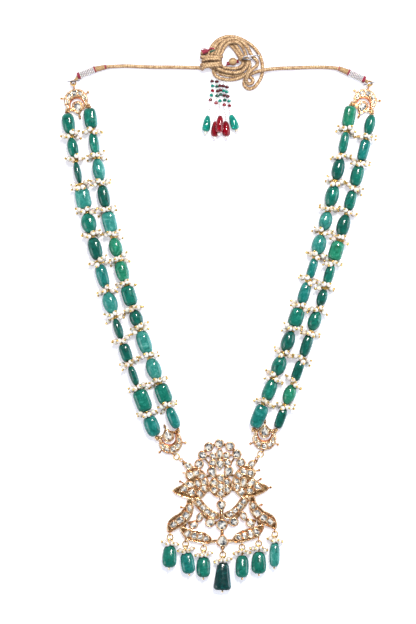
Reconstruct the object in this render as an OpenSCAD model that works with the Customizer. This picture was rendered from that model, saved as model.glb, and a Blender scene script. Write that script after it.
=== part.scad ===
// Kundan pendant necklace lying flat: two bead strings a side, four crescent spacers,
// a pendant with seven bead drops, and a tied gold thread cord with a bead tassel.
// X runs right, Y towards the knot, Z up from the surface that the necklace lies on.

/* [Bead strings] */
// Height of the threads above the surface
thread_z = 4.1; // [4.0:0.1:4.4]
// Radius of a thread
thread_r = 0.3; // [0.2:0.05:0.35]
// Radius of the hole through a bead
bore_r = 0.5; // [0.45:0.05:0.6]
// Radius of a pearl between two beads
pearl_r = 1.6; // [1.4:0.1:1.6]

/* [Spacers] */
// Outer radius of a crescent
spacer_r = 6.7; // [6.4:0.1:7.0]
// Height of the gold ground of spacers and pendant
ground_t = 2.4; // [2.2:0.1:2.4]
// Height of the bezel rims
rim_t = 3.0; // [2.8:0.1:3.0]
// Distance of the string rings from a spacer's centre
horn_reach = 9.2; // [9.1:0.1:9.3]

/* [Pendant] */
// Turn of the pendant where it lies
pendant_turn = 1.8; // [0:0.2:3]
// Width of a bezel's rim
rim_w = 0.6; // [0.5:0.05:0.7]
// Height of the floor that a stone sits on
seat_z = 1.6; // [1.4:0.1:1.7]

/* [Drops] */
// Radius of a jump ring, to the middle of its wire
ring_r = 1.8; // [1.7:0.05:1.9]
// Radius of the wire of rings and eyelets
wire_r = 0.35; // [0.3:0.05:0.35]

/* [Cord] */
// Diameter of the gold thread cord
cord_d = 2.4; // [2.2:0.1:2.4]

/* [Hidden] */
$fn = 32;
GOLD = "goldenrod";
PEARL = "ivory";
GREEN = "seagreen";
STONE = "lightsteelblue";
gap = 0.14;             // clearance of a stone in its seat
link_z = 1.6;           // height of the flat rings
eye_r = 1.15;           // small eyelets, to the middle of the wire
eye_step = 2.1;         // centre of a flat ring to the centre of its neighbour eyelet
top_eye_r = 1.7;        // large eyelets at the cord's ends
top_eye_z = 2.15;
horn_angle = 50.5;      // string rings, each side of the way a crescent opens
string_gap = 1.15;      // string ring to the first bead

// Spacers: place, way it opens, turn of the eyelet from the back, eyelet radius, eyelet reach
SP_X = 0; SP_Y = 1; SP_OPEN = 2; SP_TURN = 3; SP_EYE = 4; SP_REACH = 5;
SPACERS = [
    [-89.4, 146.3, 283, -4, top_eye_r, 9.0],
    [89.4, 146.3, 248, 7, top_eye_r, 9.0],
    [-30.9, -65.1, 110, -6, eye_r, 8.1],
    [27.2, -62.8, 88, -5, eye_r, 8.1]];

// Bead strings: upper spacer, lower spacer, horn side at each, X of the curve's control point
ST_TOP = 0; ST_LOW = 1; ST_TOP_SIDE = 2; ST_LOW_SIDE = 3; ST_BOW = 4;
STRINGS = [
    [0, 2, -1, 1, -79],
    [0, 2, 1, -1, -69],
    [1, 3, 1, -1, 71],
    [1, 3, -1, 1, 63.1]];
// Beads of each string from the top: length, width, height, outline (0 barrel, 1 oval, 2 block)
BEADS = [
    [[12.6, 8.4, 7.6, 0], [12.2, 7.2, 7.0, 1], [13.4, 5.0, 7.2, 1], [13.1, 10.2, 7.8, 2], [12.4, 9.8, 7.6, 1],
     [13.9, 8.6, 7.6, 0], [14.6, 8.0, 7.6, 0], [13.7, 9.4, 7.8, 1], [13.0, 5.8, 7.4, 1], [11.0, 7.4, 7.2, 2],
     [12.0, 5.2, 6.8, 0], [13.6, 10.2, 7.8, 2], [12.6, 9.6, 7.8, 0]],
    [[12.8, 8.4, 7.6, 2], [13.4, 6.4, 7.0, 0], [14.0, 8.4, 7.6, 1], [13.7, 7.6, 7.4, 0], [13.7, 9.0, 7.6, 2],
     [12.0, 8.6, 7.6, 1], [12.6, 8.8, 7.6, 0], [12.3, 9.2, 7.6, 2], [10.4, 8.8, 7.4, 1], [14.5, 9.2, 7.8, 0],
     [13.3, 9.6, 7.8, 1], [12.0, 9.8, 7.8, 2], [12.9, 7.0, 7.2, 0]],
    [[13.0, 7.0, 7.2, 1], [13.3, 7.0, 7.2, 2], [13.0, 8.3, 7.6, 0], [12.6, 7.3, 7.4, 0], [13.9, 8.6, 7.6, 1],
     [12.0, 9.0, 7.6, 2], [12.5, 6.4, 7.0, 0], [11.0, 6.8, 7.2, 1], [12.2, 8.6, 7.6, 1], [13.7, 7.2, 7.2, 0],
     [12.2, 6.4, 7.0, 2], [12.1, 8.2, 7.4, 1], [12.4, 6.0, 6.8, 2]],
    [[13.6, 8.2, 7.6, 2], [13.5, 6.0, 6.8, 0], [14.0, 8.3, 7.6, 1], [14.4, 8.9, 7.8, 1], [11.8, 8.8, 7.6, 1],
     [12.3, 9.8, 7.8, 1], [12.1, 5.8, 6.8, 2], [13.3, 7.4, 7.4, 0], [11.6, 9.2, 7.8, 2], [13.0, 8.6, 7.6, 1],
     [12.2, 9.6, 7.8, 1], [13.1, 8.6, 7.6, 0], [14.2, 8.7, 7.8, 2]]];
BE_L = 0; BE_W = 1; BE_H = 2; BE_KIND = 3;
// Half profiles of a bead: place along it as a share of its length, share of its width
PROFILES = [
    [[0, 0.42], [0.07, 0.74], [0.24, 0.94], [0.5, 1]],
    [[0, 0.34], [0.09, 0.66], [0.27, 0.91], [0.5, 1]],
    [[0, 0.52], [0.06, 0.82], [0.20, 0.97], [0.5, 1]]];
collar_r = 3.0;         // wired collar that holds the pearls
collar_t = 0.8;
// Pearls of a ring: angle round the thread, distance from it
PEARLS = [[-30, 4.5], [24, 3.9], [68, 3.5], [112, 3.5], [156, 3.9], [210, 4.5]];

// Pendant settings on the right half: x, y, length, width, turn, outline, both sides
// outline 0 round, 1 pear pointing along its length, 2 marquise, 3 block
SE_X = 0; SE_Y = 1; SE_L = 2; SE_W = 3; SE_TURN = 4; SE_KIND = 5;
FAN = [[6.6, 24.4, 4.2, 4.2, 0, 0], [10.6, 19.4, 4.2, 4.2, 0, 0], [12.9, 14.0, 4.2, 4.2, 0, 0]];
FAN_TOP = [[0, 26.2, 4.2, 4.2, 0, 0]];
FLOWER = [[4.0, 18.6, 3.8, 3.0, 35, 2], [4.7, 14.2, 4.0, 3.0, -25, 2], [4.9, 8.6, 5.6, 3.8, -110, 1]];
FLOWER_MID = [[0, 19.8, 5.0, 3.0, 90, 2], [0, 13.4, 4.8, 3.6, -90, 1]];
ROSETTE = [for (a = [-30, 30]) [4.6 * cos(a), 4.6 * sin(a), 3.2, 3.2, a, 0]];
ROSETTE_MID = [[0, 0, 3.4, 3.4, 0, 0], [0, 4.6, 3.2, 3.2, 90, 0], [0, -4.6, 3.2, 3.2, -90, 0]];
BIRD = [
    [18.6, 7.4, 3.6, 3.4, 20, 0], [14.7, 8.6, 3.2, 2.6, 165, 3], [11.5, 6.2, 3.0, 2.4, 130, 3],
    [10.0, 2.8, 3.0, 2.4, 95, 3], [10.4, -1.0, 3.0, 2.4, 80, 3], [12.9, -4.2, 3.2, 2.6, 40, 3],
    [14.2, 1.9, 4.8, 2.4, 75, 2], [18.9, 1.4, 4.6, 2.8, 15, 2], [23.0, -1.4, 4.2, 2.8, -20, 1],
    [17.9, -3.4, 3.6, 2.8, 10, 0], [19.6, 13.0, 4.6, 2.6, 40, 2]];
BARS = [
    [13.7, -10.0, 3.0, 2.4, 52, 3], [11.3, -13.0, 3.0, 2.4, 48, 3],
    [8.5, -15.6, 3.0, 2.4, 40, 3], [5.3, -17.7, 3.0, 2.4, 30, 3]];
BARS_MID = [[0, -12.1, 5.0, 3.8, -90, 1]];
WINGS = [
    [19.7, -13.0, 4.2, 2.6, -80, 2], [22.0, -17.4, 3.6, 3.2, -55, 3],
    [25.9, -20.4, 3.6, 3.2, -35, 3], [30.0, -22.9, 3.4, 2.8, -45, 3]];
SMALL = [[13.6, -19.0, 4.4, 2.8, 105, 2], [17.6, -23.6, 4.2, 3.0, -10, 0], [7.4, -22.4, 4.4, 4.0, 0, 0]];
SMALL_MID = [[0, -23.9, 5.4, 5.4, 0, 0]];
LEAVES = [
    [21.2, -28.9, 3.6, 2.8, -30, 3], [17.4, -30.2, 3.4, 3.0, -12, 3],
    [13.7, -31.0, 3.2, 2.8, -12, 3], [10.3, -32.2, 3.0, 2.4, -25, 3]];
KITE = [[0, -33.8, 5.8, 5.2, 90, 1]];

// Outlines of the plates that carry the settings, as points of a smooth closed curve
BIRD_BODY = [[16.4, 12.0], [11.5, 9.6], [8.3, 5.0], [7.8, 0], [9.8, -4.4], [13.6, -7.2], [21.4, -6.4],
    [29.2, -2.2], [23.2, 1.4], [19.8, 4.2], [21.4, 7.2], [19.8, 10.6]];
WING_BODY = [[18.2, -8.0], [20.4, -8.2], [21.8, -12.0], [25.8, -16.2], [31.2, -19.4], [33.4, -23.4],
    [32.9, -27.2], [29.4, -25.8], [24.2, -23.2], [20.2, -19.6], [17.9, -14.4]];
LEAF_BODY = [[25.6, -25.4], [20.0, -26.4], [13.6, -28.0], [8.8, -30.4], [6.6, -33.8], [9.4, -35.0],
    [16.0, -33.8], [22.2, -31.4]];
BAR_BODY = [[16.9, -7.4], [13.0, -8.0], [9.2, -12.4], [5.4, -15.6], [1.6, -17.4], [2.2, -19.6],
    [6.8, -19.8], [11.4, -16.2], [15.6, -11.4]];
PENDANT_X = 0.1;
PENDANT_Y = -92.1;
leaf_tip = [22.2, 15.6];
// Jump rings of the drops, in the pendant's frame: x, y
RINGS = [[-32.3, -30.8], [-22.8, -35.2], [-11.7, -38.4], [0, -42.6], [12.0, -38.4], [22.4, -36.4], [32.6, -31.0]];
// Top of the wire neck that joins each drop's eyelet to the pendant
NECKS = [-26.6, -31.0, -34.2, -37.6, -34.2, -31.0, -26.6];
// Drops: length, width, height, lean, 1 for the bell
DR_L = 0; DR_W = 1; DR_H = 2; DR_LEAN = 3; DR_BELL = 4;
DROPS = [
    [13.4, 9.2, 6.2, -4, 0], [13.2, 9.0, 6.0, 6, 0], [12.6, 9.0, 6.2, -3, 0], [16.6, 11.8, 7.0, -3, 1],
    [13.4, 8.8, 6.2, -2, 0], [13.4, 9.4, 6.2, -2, 0], [14.8, 6.6, 5.8, -4, 0]];
drop_top = 3.0;         // loop's centre to the top of a drop
DROP_PROFILE = [[0, 0.40], [0.06, 0.70], [0.2, 0.92], [0.5, 1], [0.8, 0.97], [0.94, 0.78], [1, 0.42]];
BELL_PROFILE = [[0, 0.46], [0.05, 0.60], [0.3, 0.74], [0.6, 0.88], [0.88, 1], [0.97, 0.88], [1, 0.62]];

// Route of the cords, chosen by hand, to the middle of the cord
CORD_LEFT = [
    [-87.0, 161.9, 2.4], [-82.4, 163.8, 2.4], [-77.6, 165.6, 2.4], [-71.0, 167.0, 2.2], [-64.5, 167.6, 1.4],
    [-58, 167.8, 1.25], [-51, 167.5, 1.25], [-44, 167.2, 1.25], [-37, 167.1, 1.25], [-30, 167.1, 1.25],
    [-23.5, 167.0, 1.25], [-17.5, 166.8, 1.5], [-13.0, 166.6, 1.8]];
CORD_RIGHT = [
    [88.0, 159.6, 2.4], [83.5, 161.7, 2.4], [79.2, 163.7, 2.4], [73.2, 166.0, 2.2], [67, 166.9, 1.4],
    [60.5, 167.1, 1.25], [54, 167.0, 1.25], [47.5, 166.7, 1.3], [41, 166.4, 1.9], [35, 166.0, 2.9],
    [29.5, 165.3, 3.8], [25, 164.5, 3.9], [20.8, 163.4, 3.0], [17.4, 161.8, 1.9], [14.9, 159.0, 1.3],
    [14.8, 155.8, 1.25], [17.4, 153.7, 1.25], [20.6, 154.6, 1.25], [23.2, 157.4, 1.25],
    [25.2, 161.0, 1.25], [26.0, 165.4, 1.25], [25.7, 170.0, 1.25], [24.0, 174.8, 1.25],
    [20.6, 179.4, 1.25], [15.8, 182.9, 1.25], [10.4, 185.4, 1.25], [4.2, 186.0, 1.25],
    [-1.2, 184.1, 1.25], [-5.0, 180.4, 1.25], [-6.9, 175.4, 1.25]];
COIL_X = 6.3; COIL_Y = 172.8; COIL_IN = 6.6; COIL_OUT = 11.6; COIL_T = 4.6;
WRAP_X = -5.6; WRAP_Y = 169.7; WRAP_W = 14.2; WRAP_H = 9.2; WRAP_T = 7.2;
// Ends of the cords: crimson ring beyond the sleeve, between sleeve and barrel, beyond the barrel
CORD_ENDS = [
    [[-87.6, 161.6], [-77.9, 165.5], [-71.2, 167.0]],
    [[88.6, 159.3], [79.4, 163.6], [73.4, 166.0]]];
sleeve_z = 2.4;
// Tassel: x and y of each string's end, drop length, lean, height of its middle, 1 for red
TASSEL = [
    [-7.8, 136.9, 10.0, -8, 2.7, 0], [-3.1, 133.4, 9.6, -3, 2.7, 1], [-0.2, 136.4, 10.4, -4, 7.0, 1],
    [3.1, 133.6, 9.6, 3, 2.7, 1], [6.3, 137.4, 9.8, 20, 2.7, 0]];

function along(a) = [cos(a), sin(a)];
function mid(a, b, t) = a + t * (b - a);
function bezier(a, b, c, t) = mid(mid(a, b, t), mid(b, c, t), t);
function sum(v, n) = n <= 0 ? 0 : v[n - 1] + sum(v, n - 1);
function heading(v) = atan2(v[1], v[0]);

// Closed curve through the points, three steps from each point to the next
function smooth(p, steps = 3) = [
    for (i = [0:len(p) - 1], k = [0:steps - 1])
        let (n = len(p), a = p[(i + n - 1) % n], b = p[i], c = p[(i + 1) % n], d = p[(i + 2) % n], t = k / steps)
            0.5 * (2 * b + (c - a) * t + (2 * a - 5 * b + 4 * c - d) * t * t
                + (3 * b - a - 3 * c + d) * t * t * t)];

// Outline of a stone or bezel by its kind, its length along X, with a margin all round
function stone_outline(kind, l, w, grow = 0) =
    let (a = l / 2 + grow, b = w / 2 + grow)
    kind == 0 ? [for (i = [0:9]) [a * cos(36 * i), b * sin(36 * i)]]
    : kind == 1 ? [for (i = [0:9]) let (t = 36 * i) [a * cos(t), b * sin(t) * (1 - 0.42 * cos(t))]]
    : kind == 2 ? [for (i = [0:9]) let (t = 36 * i) [a * cos(t), b * sin(t) * (0.72 + 0.28 * sin(t) * sin(t))]]
    : [[a, b * 0.55], [a * 0.7, b], [-a * 0.7, b], [-a, b * 0.55],
       [-a, -b * 0.55], [-a * 0.7, -b], [a * 0.7, -b], [a, -b * 0.55]];
function at_setting(p, s) =
    let (c = cos(s[SE_TURN]), d = sin(s[SE_TURN])) [s[SE_X] + p[0] * c - p[1] * d, s[SE_Y] + p[0] * d + p[1] * c];
function mirrored(s) = [-s[SE_X], s[SE_Y], s[SE_L], s[SE_W], 180 - s[SE_TURN], s[SE_KIND]];
function both(list) = concat(list, [for (s = list) mirrored(s)]);

// Closed solid between rings of points, all rings with the same number of points
module loft(rings) {
    n = len(rings[0]);
    m = len(rings);
    polyhedron(
        points = [for (r = rings) each r],
        faces = concat(
            [[for (i = [0:n - 1]) i]],
            [[for (i = [n - 1:-1:0]) (m - 1) * n + i]],
            [for (k = [0:m - 2], i = [0:n - 1]) let (j = (i + 1) % n) [k * n + j, k * n + i, (k + 1) * n + i]],
            [for (k = [0:m - 2], i = [0:n - 1]) let (j = (i + 1) % n)
                [k * n + j, (k + 1) * n + i, (k + 1) * n + j]]));
}

// Flat cut stone: a straight girdle, a ring of crown facets and a table
module stone(s) {
    levels = [[seat_z + gap, 0], [2.6, 0], [3.15, -0.55]];
    loft([for (v = levels) [for (p = stone_outline(s[SE_KIND], s[SE_L], s[SE_W], v[1]))
        let (q = at_setting(p, s)) [q[0], q[1], v[0]]]]);
}
module stones(list) {
    color(STONE) for (s = list) stone(s);
}
module in_pendant() {
    translate([PENDANT_X, PENDANT_Y, 0]) rotate(pendant_turn) children();
}
module setting_shape(s, grow) {
    polygon([for (p = stone_outline(s[SE_KIND], s[SE_L], s[SE_W], grow)) at_setting(p, s)]);
}
// Plate from a to b with round ends
module strip(a, b, r) {
    t = heading(b - a);
    polygon([for (k = [0:5]) a + r * along(t + 90 + 36 * k), for (k = [0:5]) b + r * along(t - 90 + 36 * k)]);
}
module setting_shapes(list, grow) {
    for (s = list) setting_shape(s, grow);
}

// Ground plate with stone seats sunk in it and raised rims round them
module jewelled_plate(list) {
    linear_extrude(seat_z) offset(delta = 0.001) children();
    translate([0, 0, seat_z]) linear_extrude(ground_t - seat_z) offset(delta = 0.001) difference() {
        children();
        setting_shapes(list, gap);
    }
    translate([0, 0, ground_t]) linear_extrude(rim_t - ground_t) offset(delta = 0.001) difference() {
        setting_shapes(list, rim_w);
        setting_shapes(list, gap);
    }
}
module ring(r, wire) {
    rotate_extrude($fn = 32) translate([r, 0]) circle(wire, $fn = 16);
}
module standing_ring(p, turn, r, z, wire) {
    translate([p[0], p[1], z]) rotate(turn) rotate([90, 0, 0]) ring(r, wire);
}
module rod(a, b, r) {
    d = b - a;
    translate(a) rotate([0, acos(d[2] / norm(d)), atan2(d[1], d[0])]) cylinder(h = norm(d), r = r, $fn = 16);
}
module ball(p, r) {
    translate(p) sphere(r, $fn = 24);
}

// Bead strings
function spacer_at(i) = [SPACERS[i][SP_X], SPACERS[i][SP_Y]];
function horn(i, side) = spacer_at(i) + horn_reach * along(SPACERS[i][SP_OPEN] + side * horn_angle);
function string_top(k) = horn(STRINGS[k][ST_TOP], STRINGS[k][ST_TOP_SIDE]);
function string_low(k) = horn(STRINGS[k][ST_LOW], STRINGS[k][ST_LOW_SIDE]);
function string_bow(k) = [STRINGS[k][ST_BOW], (string_top(k)[1] + string_low(k)[1]) / 2];
function string_point(k, t) = bezier(string_top(k), string_bow(k), string_low(k), t);
function string_length(k) =
    let (n = 24) sum([for (i = [1:n]) norm(string_point(k, i / n) - string_point(k, (i - 1) / n))], n);
function bead_gap(k) =
    let (l = [for (b = BEADS[k]) b[BE_L]], n = len(l)) (string_length(k) - 2 * string_gap - sum(l, n)) / (n - 1);
function bead_start(k, i) =
    let (l = [for (b = BEADS[k]) b[BE_L]]) (string_gap + sum(l, i) + i * bead_gap(k)) / string_length(k);
function bead_ends(k, i) =
    [string_point(k, bead_start(k, i)), string_point(k, bead_start(k, i) + BEADS[k][i][BE_L] / string_length(k))];
function lift(p) = [p[0], p[1], thread_z];
function mirror_profile(p) = concat(p, [for (i = [len(p) - 2:-1:0]) [1 - p[i][0], p[i][1]]]);
function round_ring(s, w, h, n = 10) = [for (i = [0:n - 1]) let (a = 360 * i / n)
    [s, w / 2 * cos(a) * (1 + 0.06 * pow(sin(2 * a), 2)), h / 2 * sin(a) * (1 + 0.06 * pow(sin(2 * a), 2))]];

// Bead along X from the origin, drilled from end to end
module drilled(l, w, h, profile) {
    difference() {
        loft([for (p = profile) round_ring(p[0] * l, w * p[1], h * p[1])]);
        translate([-1, 0, 0]) rotate([0, 90, 0]) cylinder(h = l + 2, r = bore_r, $fn = 24);
    }
}
module emeralds(k) {
    color(GREEN) for (i = [0:len(BEADS[k]) - 1]) {
        e = bead_ends(k, i);
        b = BEADS[k][i];
        translate(lift(e[0])) rotate(heading(e[1] - e[0]))
            drilled(norm(e[1] - e[0]), b[BE_W], b[BE_H], mirror_profile(PROFILES[b[BE_KIND]]));
    }
}
module thread(k) {
    n = len(BEADS[k]);
    top = string_top(k);
    low = string_low(k);
    first = bead_ends(k, 0)[0];
    last = bead_ends(k, n - 1)[1];
    t_end = top + 1.25 * (top - first) / norm(top - first);
    l_end = low + 1.25 * (low - last) / norm(low - last);
    path = concat([t_end], [for (i = [0:n - 1]) each bead_ends(k, i)], [l_end]);
    route = [for (p = path) lift(p)];
    color("tan") union() {
        loft([for (i = [0:len(route) - 1]) sweep_ring(route, i, thread_r, 6)]);
        ball(lift(t_end), 0.85);
        ball(lift(l_end), 0.85);
    }
}
module pearl_ring() {
    for (p = PEARLS) rotate([p[0], 0, 0]) translate([0, p[1], 0]) sphere(pearl_r, $fn = 24);
    rotate([0, 90, 0]) difference() {
        cylinder(h = collar_t, r = collar_r, center = true);
        cylinder(h = 2, r = bore_r + gap, center = true);
    }
}
module pearls(k) {
    color(PEARL) for (i = [1:len(BEADS[k]) - 1]) {
        a = bead_ends(k, i - 1)[1];
        b = bead_ends(k, i)[0];
        translate(lift(mid(a, b, 0.5))) rotate(heading(b - a)) pearl_ring();
    }
}

// Spacers: a crescent that opens along X, with an inner drop between its horns
function back_turn(i) = SPACERS[i][SP_OPEN] + 180 + SPACERS[i][SP_TURN];
function eye_at(i) = spacer_at(i) + SPACERS[i][SP_REACH] * along(back_turn(i));
function eye_turn(i) = i < 2 ? back_turn(i) : heading(link_way(i == 2 ? -1 : 1));
inner_r = 5.1;
inner_x = 2.9;
SPACER_STONES = [
    [-4.45, 0, 3.0, 2.8, 90, 3], [-3.5, -3.6, 3.0, 2.2, 134, 3], [-3.5, 3.6, 3.0, 2.2, 46, 3],
    [-0.6, -5.4, 2.8, 1.3, 175, 3], [-0.6, 5.4, 2.8, 1.3, 5, 3], [4.7, 0, 5.6, 3.8, 0, 1]];
module spacer_outline() {
    difference() {
        circle(spacer_r, $fn = 48);
        translate([inner_x, 0]) circle(inner_r, $fn = 48);
    }
    setting_shape(SPACER_STONES[5], 0.85);
    for (s = [-1, 1]) {
        strip([4.6, s * 4.9], [6.4, s * 1.4], 0.7);
        strip([4.4, s * 4.7], horn_reach * [cos(horn_angle), s * sin(horn_angle)], 1.0);
    }
}
module spacer(i) {
    s = SPACERS[i];
    back = back_turn(i);
    eye = eye_at(i);
    eye_z = s[SP_EYE] == eye_r ? link_z : top_eye_z;
    eye_wire = s[SP_EYE] == eye_r ? wire_r : 0.4;
    color(GOLD) union() {
        translate([s[SP_X], s[SP_Y], 0]) rotate(s[SP_OPEN]) {
            jewelled_plate(SPACER_STONES) spacer_outline();
            rod([7.6, 0, link_z], [10.6, 0, link_z], 0.45);
            ball([10.0, 0, link_z], 0.85);
            ball([11.2, 0, link_z], 0.65);
            for (a = [-112, 112]) rotate(a) {
                rod([spacer_r - 0.3, 0, link_z], [9.0, 0, link_z], 0.45);
                ball([9.2, 0, link_z], 0.85);
            }
        }
        root = spacer_at(i) + (spacer_r - 0.2) * along(back);
        foot = eye - s[SP_EYE] * along(eye_turn(i));
        rod([root[0], root[1], link_z], [foot[0], foot[1], eye_z], 0.65);
        standing_ring(eye, eye_turn(i), s[SP_EYE], eye_z, eye_wire);
        for (k = [0:3]) {
            top = STRINGS[k][ST_TOP] == i;
            if (top || STRINGS[k][ST_LOW] == i) {
                h = top ? string_top(k) : string_low(k);
                inward = string_point(k, top ? 0.05 : 0.95) - h;
                translate([h[0], h[1], 0.2]) cylinder(h = thread_z - 1.05, r = 0.7);
                translate(lift(h)) rotate(heading(inward)) rotate([0, 90, 0]) ring(0.95, 0.4);
            }
        }
    }
}
module spacer_stones(i) {
    s = SPACERS[i];
    translate([s[SP_X], s[SP_Y], 0]) rotate(s[SP_OPEN]) stones(SPACER_STONES);
}

// Pendant
ALL_SETTINGS = concat(
    both(concat(FAN, FLOWER, ROSETTE, BIRD, BARS, WINGS, SMALL, LEAVES)),
    FAN_TOP, FLOWER_MID, ROSETTE_MID, BARS_MID, SMALL_MID, KITE);
module half_outline() {
    for (p = [BIRD_BODY, WING_BODY, LEAF_BODY, BAR_BODY]) polygon(smooth(p));
    setting_shapes(concat(FAN, FLOWER, ROSETTE, SMALL), rim_w);
    strip([15.6, 11.0], [22.4, 14.6], 1.0);
    setting_shape(BIRD[10], 0.7);
    strip([0, 26.2], [6.6, 24.4], 0.9);
    strip([6.6, 24.4], [10.6, 19.4], 0.9);
    strip([10.6, 19.4], [12.9, 14.0], 0.9);
    strip([12.9, 12.4], [13.4, 8.6], 1.0);
    strip([1.0, 17.0], [8.0, 19.0], 0.6);
    strip([5.6, 12.4], [10.6, 19.0], 0.5);
    strip([1.0, 16.0], [4.6, 9.6], 0.7);
    strip([3.8, 6.4], [2.8, 5.8], 1.2);
    strip([6.6, 6.4], [9.2, 6.0], 0.7);
    strip([6.4, -2.0], [9.0, -2.6], 1.1);
    strip([16.8, -6.4], [17.6, -9.0], 1.6);
    strip([12.2, -17.2], [8.2, -20.6], 0.8);
    strip([2.4, -22.8], [6.4, -22.8], 0.9);
    strip([15.2, -21.4], [20.6, -22.4], 0.8);
    strip([22.6, -23.4], [24.6, -26.4], 0.9);
    strip([3.0, -34.0], [8.0, -34.2], 0.8);
}
module pendant_outline() {
    for (s = [0, 1]) mirror([s, 0]) half_outline();
    setting_shapes(concat(FAN_TOP, FLOWER_MID, ROSETTE_MID, BARS_MID, SMALL_MID, KITE), rim_w + 0.1);
    difference() {
        circle(7.2, $fn = 40);
        for (a = [0:60:300]) rotate(a) translate([2.6, 0]) circle(0.55, $fn = 12);
    }
    strip([0, -6.6], [0, -9.4], 1.0);
    strip([0, -15.0], [0, -21.0], 1.2);
    strip([0, -27.0], [0, -31.0], 1.0);
    strip([0, -36.4], [0, -38.4], 1.3);
    strip([0, 22.0], [0, 24.0], 0.7);
    strip([-2.4, -18.4], [2.4, -18.4], 1.1);
}
function pendant_point(p) =
    [PENDANT_X, PENDANT_Y] + [p[0] * cos(pendant_turn) - p[1] * sin(pendant_turn),
        p[0] * sin(pendant_turn) + p[1] * cos(pendant_turn)];
function tip_at(side) = pendant_point([side * leaf_tip[0], leaf_tip[1]]);
function link_start(side) = eye_at(side < 0 ? 2 : 3);
function link_way(side) = let (d = tip_at(side) - link_start(side)) d / norm(d);
small_ring_r = 1.15;
small_ring_step = 2.19;
bail_step = 1.43;
bail_r = 1.0;
small_wire = 0.3;
function bail_at(side) = link_start(side) + (eye_step + small_ring_step + bail_step) * link_way(side);
module pendant_frame() {
    color(GOLD) union() {
        in_pendant() {
            jewelled_plate(ALL_SETTINGS) pendant_outline();
            for (i = [0:6]) {
                eye = [RINGS[i][0], RINGS[i][1] + eye_step];
                rod([eye[0], NECKS[i], link_z], [eye[0], eye[1] + eye_r, link_z], 0.6);
                standing_ring(eye, 90, eye_r, link_z, wire_r);
            }
            for (s = [-1, 1]) {
                for (p = [[20.6, 8.4, 24.2, 9.0], [21.6, 1.6, 25.0, 3.6], [21.6, -13.0, 25.0, -12.4],
                    [27.0, -2.4, 31.0, -1.8]]) {
                    rod([s * p[0], p[1], link_z], [s * p[2], p[3], link_z], 0.4);
                    ball([s * p[2], p[3], link_z], 0.8);
                }
            }
        }
        for (s = [-1, 1]) {
            b = bail_at(s);
            t = tip_at(s);
            w = link_way(s);
            translate([b[0], b[1], link_z]) ring(bail_r, small_wire);
            rod([b[0] + bail_r * w[0], b[1] + bail_r * w[1], link_z], [t[0] + w[0], t[1] + w[1], link_z], 0.55);
        }
    }
}
module link_rings() {
    color(GOLD) for (s = [-1, 1]) {
        a = link_start(s) + eye_step * link_way(s);
        b = a + small_ring_step * link_way(s);
        translate([a[0], a[1], link_z]) ring(ring_r, wire_r);
        standing_ring(b, heading(link_way(s)), small_ring_r, link_z, small_wire);
    }
}
module jump_rings() {
    color(GOLD) in_pendant() for (p = RINGS) translate([p[0], p[1], link_z]) ring(ring_r, wire_r);
}

// Drops: each hangs from its pin's loop and leans on the surface at its thickest
function drop_profile(d) = d[DR_BELL] == 1 ? BELL_PROFILE : DROP_PROFILE;
function drop_pitch(d) =
    max([for (p = drop_profile(d)) asin((d[DR_H] * p[1] / 2 + 0.15 - link_z) / (drop_top + p[0] * d[DR_L]))]);
module in_drop(i) {
    in_pendant() translate([RINGS[i][0], RINGS[i][1] - eye_step, link_z])
        rotate(-90 + DROPS[i][DR_LEAN]) rotate([0, -drop_pitch(DROPS[i]), 0]) children();
}
module drop(i) {
    d = DROPS[i];
    color(GREEN) in_drop(i) translate([drop_top, 0, 0]) drilled(d[DR_L], d[DR_W], d[DR_H], drop_profile(d));
}
module pin(i) {
    l = drop_top + DROPS[i][DR_L];
    wide = DROPS[i][DR_W] > 7 ? 3.0 : 2.5;
    color(GOLD) in_drop(i) union() {
        rotate([90, 0, 0]) ring(eye_r, wire_r);
        translate([eye_r, 0, 0]) rotate([0, 90, 0]) cylinder(h = l - eye_r + 0.6, r = thread_r, $fn = 24);
        translate([l + 0.8, 0, 0]) sphere(0.7, $fn = 24);
        for (a = [-8, 50, 130, 188]) rotate([a, 0, 0]) {
            translate([1.6, wide, 0]) sphere(1.25, $fn = 24);
            translate([1.6, 0, 0]) rotate([-90, 0, 0]) cylinder(h = wide + 1.5, r = 0.28, $fn = 16);
        }
    }
}

// Cord: swept through its route's own points with eight sides
function unit(v) = v / norm(v);
function way(p, i) = unit(p[min(i + 1, len(p) - 1)] - p[max(i - 1, 0)]);
function sweep_ring(p, i, r, n = 8) =
    let (d = way(p, i), side = unit(cross([0, 0, 1], d)), up = cross(d, side))
    [for (k = [0:n - 1]) let (a = 360 / n * k) p[i] + r * (cos(a) * side + sin(a) * up)];
module cord(route) {
    color("tan") loft([for (i = [0:len(route) - 1]) sweep_ring(route, i, cord_d / 2)]);
}
module cord_coil() {
    c = 1.1;
    color("tan") translate([COIL_X, COIL_Y, 0.05]) difference() {
        rotate_extrude($fn = 64) polygon([
            [COIL_IN + c, 0], [COIL_OUT - c, 0], [COIL_OUT, c], [COIL_OUT, COIL_T / 2],
            [COIL_OUT - c * 1.4, COIL_T], [COIL_IN + c * 1.4, COIL_T], [COIL_IN, COIL_T / 2], [COIL_IN, c]]);
        translate([WRAP_X - COIL_X - WRAP_W / 2, WRAP_Y - COIL_Y - WRAP_H / 2 - gap, -1])
            cube([WRAP_W, WRAP_H + 2 * gap, WRAP_T + 2]);
    }
}
module cord_wrap() {
    r = WRAP_H / 2;
    color("tan") translate([WRAP_X, WRAP_Y, 0.05]) linear_extrude(WRAP_T) union() {
        square([WRAP_W - 2 * r, WRAP_H], center = true);
        for (s = [-1, 1]) translate([s * (WRAP_W / 2 - r), 0]) circle(r);
    }
}
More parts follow.
